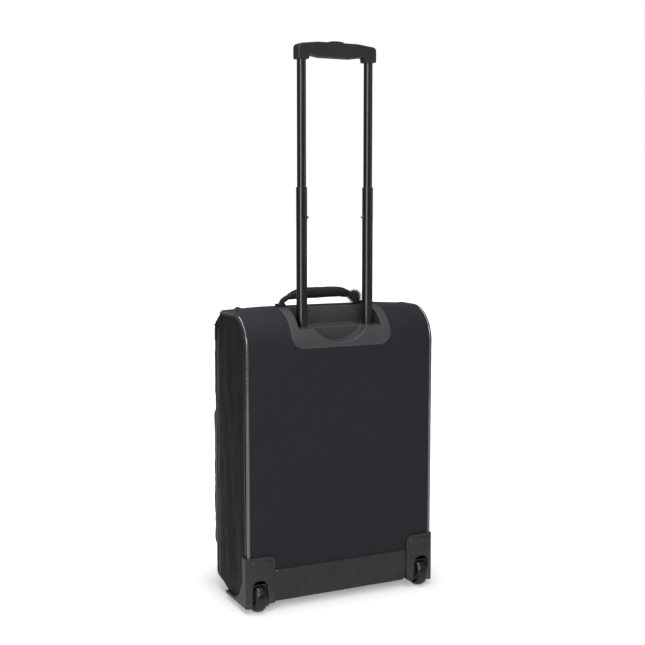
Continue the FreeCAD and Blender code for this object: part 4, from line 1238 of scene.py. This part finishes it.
def carry_sleeve():
    """Padded grip rolled round the webbing and sewn shut underneath, bound at both ends."""
    low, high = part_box("carry_handle_sleeve")
    half = (high.x - low.x) / 2 + 10 * MM
    width, tall = (high.y - low.y) / 2, (high.z - low.z) / 2 + 1.2 * MM
    line = [p for p in carry_line() if abs(p.x) < half]
    rows, count = len(line), 28

    def ring(i, inset):
        t = abs(2 * i / (rows - 1) - 1)
        taper = 1 - 0.38 * t ** 4
        ahead = (line[min(i + 1, rows - 1)] - line[max(i - 1, 0)]).normalized()
        up = ahead.cross(Vector((0, 1, 0))).normalized()
        if up.z < 0:
            up = -up
        points = []
        for k in range(count):
            ca, sa = math.cos(2 * math.pi * k / count), math.sin(2 * math.pi * k / count)
            r = (abs(ca) ** 2.4 + abs(sa) ** 2.4) ** (-1 / 2.4)
            outward = Vector((0, ca * r * (width - inset) * taper, 0))
            points.append(line[i] + outward + up * (sa * r * (tall - inset) * taper))
        return points

    verts = [p for i in range(rows) for p in ring(i, 0.6 * MM)]
    obj = add_mesh("carry_sleeve_pad", verts, tube_faces(rows, count), NYLON)
    end = abs(line[0].x)
    puffed(obj, lambda p: 1.0 if abs(p.x) > end - 2 * MM else 0.0, 4.0, 1.5 * MM, shrink=-0.02)
    relieve(obj, lambda p: 0.4 * MM * ripple(p.x, p.y, p.z, 0.012))
    subdivided(obj, 1)
    finish_piece(obj, "carry_handle", "nylon", "carry_handle_sleeve")
    hems = []
    for i in (0, rows - 1):
        ahead = (line[1] - line[0] if i == 0 else line[-1] - line[-2]).normalized()
        verts = []
        for p in ring(i, 1.0 * MM):
            out = (p - line[i]).normalized()
            verts += [p + out * a + ahead * b for a, b in circle(0.8 * MM, 8)]
        hems.append(add_mesh("hem", verts, grid_faces(count, 8, wrap_rows=True, wrap_cols=True), VINYL))
    finish_piece(join("carry_sleeve_hems", hems), "carry_handle", "leatherette")
    under = [p - UP * (tall * 0.8) + Vector((0, width * 0.55, 0)) for p in line[3:-3]]
    downs = [Vector((0, 0.3, -1)).normalized()] * len(under)
    stitch_row(("stitches_carry_handle", "carry_handle"), under, downs)


def pompom():
    """A fluffy ball: short fibres, each a thin bent blade with its own lean."""
    low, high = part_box("pompom")
    centre = (low + high) / 2 + Vector((3 * MM, -1 * MM, 1 * MM))
    radius = (high.x - low.x) / 2 * 1.12
    dice = random.Random(7)
    verts, faces = [], []
    for _ in range(2600):
        z = dice.uniform(-1, 1)
        a = dice.uniform(0, 2 * math.pi)
        out = Vector((math.sqrt(1 - z * z) * math.cos(a), math.sqrt(1 - z * z) * math.sin(a), z))
        lean = Vector((dice.uniform(-1, 1), dice.uniform(-1, 1), dice.uniform(-1.4, 0.4))) * 0.5
        length = radius * dice.uniform(0.5, 0.95)
        start = centre + out * (radius * 0.35)
        side = out.cross(lean).normalized()
        base = len(verts)
        for k in range(4):
            t = k / 3
            p = start + out * (length * t) + lean * (length * t * t * 0.55)
            half = 0.16 * MM * (1 - t) + 0.02 * MM
            verts.append(p + side * half)
            verts.append(p - side * half)
            verts.append(p + out.cross(side) * half)
        for k in range(3):
            b = base + 3 * k
            for i in range(3):
                j = (i + 1) % 3
                faces.append((b + i, b + j, b + 3 + j, b + 3 + i))
        faces.append((base + 9, base + 10, base + 11))
        faces.append((base + 2, base + 1, base))
    obj = add_mesh("pompom_fibres", verts, faces, FUR)
    outline = [(-radius * 0.55, 0.001 * MM), (-radius * 0.4, radius * 0.38), (0, radius * 0.55),
               (radius * 0.4, radius * 0.38), (radius * 0.55, 0.001 * MM)]
    core = turned("core", outline, centre, FUR, 20)
    whole = join("pompom_fibres", [obj, core])
    return finish_piece(whole, "carry_handle", "fur", "pompom")


# ---- inside ----
def lining_tub():
    """Lining round the inside of the case's walls, from the back board to the rim."""
    gap = LINING_GAP
    rows = spaced(CASE.near(RIM, BASE) - CASE.length, S_RIM_TOP, 8 * MM)
    half = X_HALF - gap
    verts = []
    xs = spaced(-half, half, 8 * MM)
    for s in rows:
        (depth, z), n = CASE.at(s)
        for x in xs:
            slack = 0.8 * MM + 0.6 * MM * ripple(x, s, 11.0, 0.05)
            p = soften(at(x * X_HALF / half, depth, z))
            inward = gap + slack
            verts.append(at(p.x * half / X_HALF, BACK - p.y - n[0] * inward, p.z - n[1] * inward))
    faces = grid_faces(len(rows), len(xs))
    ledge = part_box("handle_housing")[0].z

    def shows(face):
        middle = sum((verts[i] for i in face), Vector()) / len(face)
        depth = BACK - middle.y
        in_recess = abs(middle.x) < RECESS_HALF and depth < RECESS_DEPTH and middle.z > ledge - 10 * MM
        return depth > BOARD_DEPTH and not in_recess

    obj = add_mesh("lining_wrap", verts, [f for f in faces if shows(f)], LINING)
    drop_unused(obj)
    thicken(obj, LINING_CLOTH)
    finish_piece(obj, "case", "lining")
    for side, name in SIDES:
        verts = []
        depths = spaced(BOARD_DEPTH - 1 * MM, RIM, 6 * MM)
        heights = spaced(0, 1, 0.016)
        for t in heights:
            for d in depths:
                low, high = base_at(d) + gap, top_at(d) - gap
                z = low + (high - low) * t
                wave = 1.0 * MM * ripple(d, z, 17.0 * side, 0.05)
                p = soften(at(side * X_HALF, d, z))
                verts.append(Vector((p.x - side * (gap + 1.0 * MM + wave), p.y, p.z)))
        faces = grid_faces(len(heights), len(depths))
        obj = add_mesh("lining_side_" + name, verts, faces, LINING)
        thicken(obj, LINING_CLOTH, 0, 0)
        finish_piece(obj, "case", "lining")


def drop_unused(obj):
    """Drops points that no face uses."""
    used = sorted({i for p in obj.data.polygons for i in p.vertices})
    number = {old: new for new, old in enumerate(used)}
    verts = [tuple(obj.data.vertices[i].co) for i in used]
    faces = [tuple(number[i] for i in p.vertices) for p in obj.data.polygons]
    material = obj.data.materials[0]
    mesh = bpy.data.meshes.new(obj.name)
    mesh.from_pydata(verts, [], faces)
    mesh.shade_smooth()
    mesh.materials.append(material)
    obj.data = mesh


def lid_lining():
    gap = LINING_GAP
    rings = []
    for d in spaced(LID_RIM, LID_DEPTH - gap, 3 * MM):
        outer = min(d + gap, LID_DEPTH)
        rings.append(ring_at(d, lid_half_at(outer), base_at(outer), top_at(outer), CORNER_R - 1 * MM, gap))
    half, low, high = lid_half_at(LID_DEPTH) - gap, base_at(LID_DEPTH) + gap, top_at(LID_DEPTH) - gap
    for inset in spaced(8 * MM, half - 10 * MM, 9 * MM):
        rings.append(ring_at(LID_DEPTH - gap, half, low, high, max(1.5 * MM, CORNER_R - inset), inset))
    obj = rings_to_mesh("lid_lining", rings, LINING, cap=True)
    relieve(obj, lambda p: -0.7 * MM - 0.7 * MM * ripple(p.x, p.y, p.z, 0.045))
    thicken(obj, LINING_CLOTH, 0, 0)
    return finish_piece(obj, "lid", "lining")


def rim_bindings():
    """Tape folded over the raw edges inside the case's rim and the lid's."""
    inset = 2.4 * MM
    for body, depth in (("case", RIM - 1.6 * MM), ("lid", LID_RIM + 1.6 * MM)):
        ring = ring_at(depth, X_HALF, base_at(depth), top_at(depth), CORNER_R - inset, inset)
        finish_piece(ring_cord("rim_binding_" + body, ring, 1.5 * MM, WEBBING, 10), body, "webbing")


def lining_board():
    """Padded lining over the handle's sleeves."""
    low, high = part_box("lining_panel")
    verts = []
    xs, zs = spaced(low.x, high.x, 7 * MM), spaced(low.z, high.z, 7 * MM)
    for z in zs:
        for x in xs:
            hem = min(1.0, (high.x - abs(x)) / (25 * MM))
            hem *= min(1.0, (z - low.z) / (20 * MM), (high.z - z) / (20 * MM))
            lift = hem * (0.9 * MM + 0.8 * MM * ripple(x, 5.0, z, 0.06))
            verts.append(Vector((x, low.y - lift * 0.2, z)))
    obj = add_mesh("lining_board_cloth", verts, grid_faces(len(zs), len(xs)), LINING)
    thicken(obj, 1.2 * MM, 0, 1)
    return finish_piece(obj, "case", "lining", "lining_panel")


def packing_bands():
    """Elastic bands across the packing space, their ends sewn in, each with a clip."""
    low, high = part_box("packing_straps")
    bands, clips = [], []
    for z in (low.z + 16 * MM, high.z - 16 * MM):
        y = high.y - 0.8 * MM
        path = [Vector((x, y - 0.9 * MM, z)) for x in spaced(low.x, high.x, 10 * MM)]
        bands.append(sweep("band", path, lambda i: flat_section(24 * MM, 1.2 * MM, 4), WEBBING,
                           up=Vector((0, -1, 0))))
        clips += clip(z, low.y, y)
    finish_piece(join("packing_bands", bands), "case", "webbing", "packing_straps")
    finish_piece(join("packing_clips", clips), "case", "gloss_plastic")


def clip(z, front, back):
    """Side-release clip: body, two spring arms and their tips."""
    parts = []
    for x0, x1, tall in ((-21, -3, 14), (1, 21, 13)):
        outline = [(x0, -tall, 4), (x1, -tall * 0.8, 3), (x1, tall * 0.8, 3), (x0, tall, 4)]
        parts.append(plate(outline, z, front, back - 0.4 * MM))
    for way in (-1, 1):
        outline = [(-4, way * 6, 1), (2, way * 6, 1), (2, way * 10, 1), (-4, way * 10, 1)]
        parts.append(plate(outline, z, front + 0.8 * MM, back - 1 * MM))
    return parts


def plate(outline, z, front, back):
    """A flat piece with rounded corners and eased edges, in the x, z plane."""
    track = Track([(u * MM, v * MM, r * MM) for u, v, r in outline])
    steps = 60
    rings = []
    for inset, y in ((0.0, back), (0.0, front + 0.8 * MM), (0.25 * MM, front + 0.25 * MM), (0.9 * MM, front)):
        ring = []
        for k in range(steps):
            (u, v), n = track.at(track.length * k / steps)
            ring.append(Vector((u - n[0] * inset, y, z + v - n[1] * inset)))
        rings.append(ring)
    verts = [p for ring in rings for p in ring]
    faces = grid_faces(len(rings), steps, wrap_cols=True)
    faces.append(tuple(range(steps)))
    faces.append(tuple(range(3 * steps, 4 * steps)))
    return add_mesh("clip_part", verts, faces, GLOSS_PLASTIC)


# ---- floor, light, camera ----
def stage():
    m = Nodes("paper_floor", Specular_IOR_Level=0.1)
    colour = m.mix(m.ranged(m.noise(3, 2), 0.3, 0.7, 0.0, 1.0), (0.9, 0.9, 0.9, 1), (0.92, 0.92, 0.92, 1))
    m.shader.inputs["Emission Color"].default_value = (1, 1, 1, 1)
    x, y, _ = m.split(m.place)
    out_x = m.math("MAXIMUM", m.math("SUBTRACT", m.math("ABSOLUTE", x), X_HALF), 0.0)
    out_y = m.math("MAXIMUM", m.math("SUBTRACT", m.math("ABSOLUTE", y), BACK), 0.0)
    reach = m.math("SQRT", m.math("ADD", m.math("MULTIPLY", out_x, out_x), m.math("MULTIPLY", out_y, out_y)))
    # The floor glows for camera rays only, least within 16 cm of the case's footprint and more further out: a
    # painted contact shadow round the case, and painted light that keeps the rest of the floor white.
    floor_glow_painted_shadow = m.math("ADD", m.ranged(reach, 0.0, 0.16, 0.33, 0.8), m.ranged(reach, 0.3, 1.5, 0.0, 0.4))
    seen = m.add("ShaderNodeLightPath").outputs["Is Camera Ray"]
    m.put(m.shader.inputs["Emission Strength"], m.math("MULTIPLY", floor_glow_painted_shadow, seen))
    material = m.done(colour, 0.9, None)
    size = 30
    floor = add_mesh("floor", [(-size, -size, 0), (size, -size, 0), (size, size, 0), (-size, size, 0)],
                     [(0, 1, 2, 3)], material)


def area_light(name, place, target, size, power):
    light = bpy.data.lights.new(name, "AREA")
    light.shape = "RECTANGLE"
    light.size, light.size_y = size
    light.energy = power
    obj = link(bpy.data.objects.new(name, light))
    obj.location = place
    obj.rotation_mode = "QUATERNION"
    obj.rotation_quaternion = (Vector(target) - Vector(place)).to_track_quat("-Z", "Y")
    return obj


def light_and_camera():
    world = bpy.data.worlds.new("studio")
    bpy.context.scene.world = world
    world.use_nodes = True
    tree = world.node_tree
    backdrop = tree.nodes["Background"]
    backdrop.inputs["Color"].default_value = (1, 1, 1, 1)
    seen = tree.nodes.new("ShaderNodeLightPath").outputs["Is Camera Ray"]
    strength = tree.nodes.new("ShaderNodeMapRange")
    strength.inputs["To Min"].default_value = 0.14
    strength.inputs["To Max"].default_value = 1.0
    tree.links.new(seen, strength.inputs["Value"])
    tree.links.new(strength.outputs[0], backdrop.inputs["Strength"])
    area_light("overhead", (0.15, 0.5, 2.6), (0.15, 0.5, 0), (0.9, 3.2), 39)
    area_light("key", (1.67, 1.73, 1.15), (0, 0, 0.55), (1.1, 1.9), 17)
    area_light("fill", (0.5, 2.5, 1.9), (0, 0, 0.5), (1.3, 1.0), 18)
    area_light("right_strip", (-2.1, 1.5, 1.2), (0, 0, 0.5), (0.15, 1.6), 2.5)
    camera = link(bpy.data.objects.new("camera", bpy.data.cameras.new("camera")))
    azimuth, pitch = math.radians(154.08), math.radians(6.23)
    level = math.cos(pitch)
    back = Vector((math.sin(azimuth) * level, -math.cos(azimuth) * level, math.sin(pitch)))
    camera.location = (0.87778, 1.82239, 0.70593)
    camera.rotation_mode = "QUATERNION"
    camera.rotation_quaternion = (-back).to_track_quat("-Z", "Y")
    camera.data.lens = 62.73
    camera.data.sensor_width = 36
    camera.data.clip_start = 0.05
    bpy.context.scene.camera = camera
    bpy.context.scene.view_settings.view_transform = "Standard"


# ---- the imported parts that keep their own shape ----
NODE_FINISH = (
    (TUBE_METAL, "outer_tube_left outer_tube_right mid_tube_left mid_tube_right"),
    (TUBE_METAL, "inner_tube_left inner_tube_right"),
    (GRIP_PLASTIC, "tube_collars mid_collars mid_plugs inner_plugs"),
    (HOUSING_PLASTIC, "tube_feet tube_bracket front_feet"),
    (STEEL, "lock_pin_tips lock_pin_left lock_pin_right release_yoke wheel_axles base_screws"),
    (GLOSS_PLASTIC, "wheel_bearings_left wheel_bearings_right"),
    (ZIP_METAL, "carry_handle_anchors zip_slider_top zip_slider_side zip_pull_top zip_pull_side"),
    (ZIP_METAL, "pocket_slider_main pocket_slider_upper pocket_pull_main pocket_pull_upper"),
)


def dress_nodes():
    for material, nodes in NODE_FINISH:
        for node in nodes.split():
            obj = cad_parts[node]
            obj.data.materials.clear()
            obj.data.materials.append(material)


stage()
light_and_camera()
dress_nodes()
back_cloth()
bottom_cloth()
for side, name in SIDES:
    side_cloth(side, name)
    piping(side, name)
    wheel_housing(name)
    wheel(name)
kick_plate()
handle_trim()
trim_shadow_bead()
grip()
lid_gusset()
lid_front()
lid_welt()
pocket("pocket_main_cloth", "pocket_main", "pocket_pull_main")
pocket("pocket_upper_cloth", "pocket_upper", "pocket_pull_upper")
main_zip()
pocket_zips()
hinge_tape()
carry_strap()
carry_sleeve()
pompom()
lining_tub()
lid_lining()
rim_bindings()
lining_board()
packing_bands()
sew()
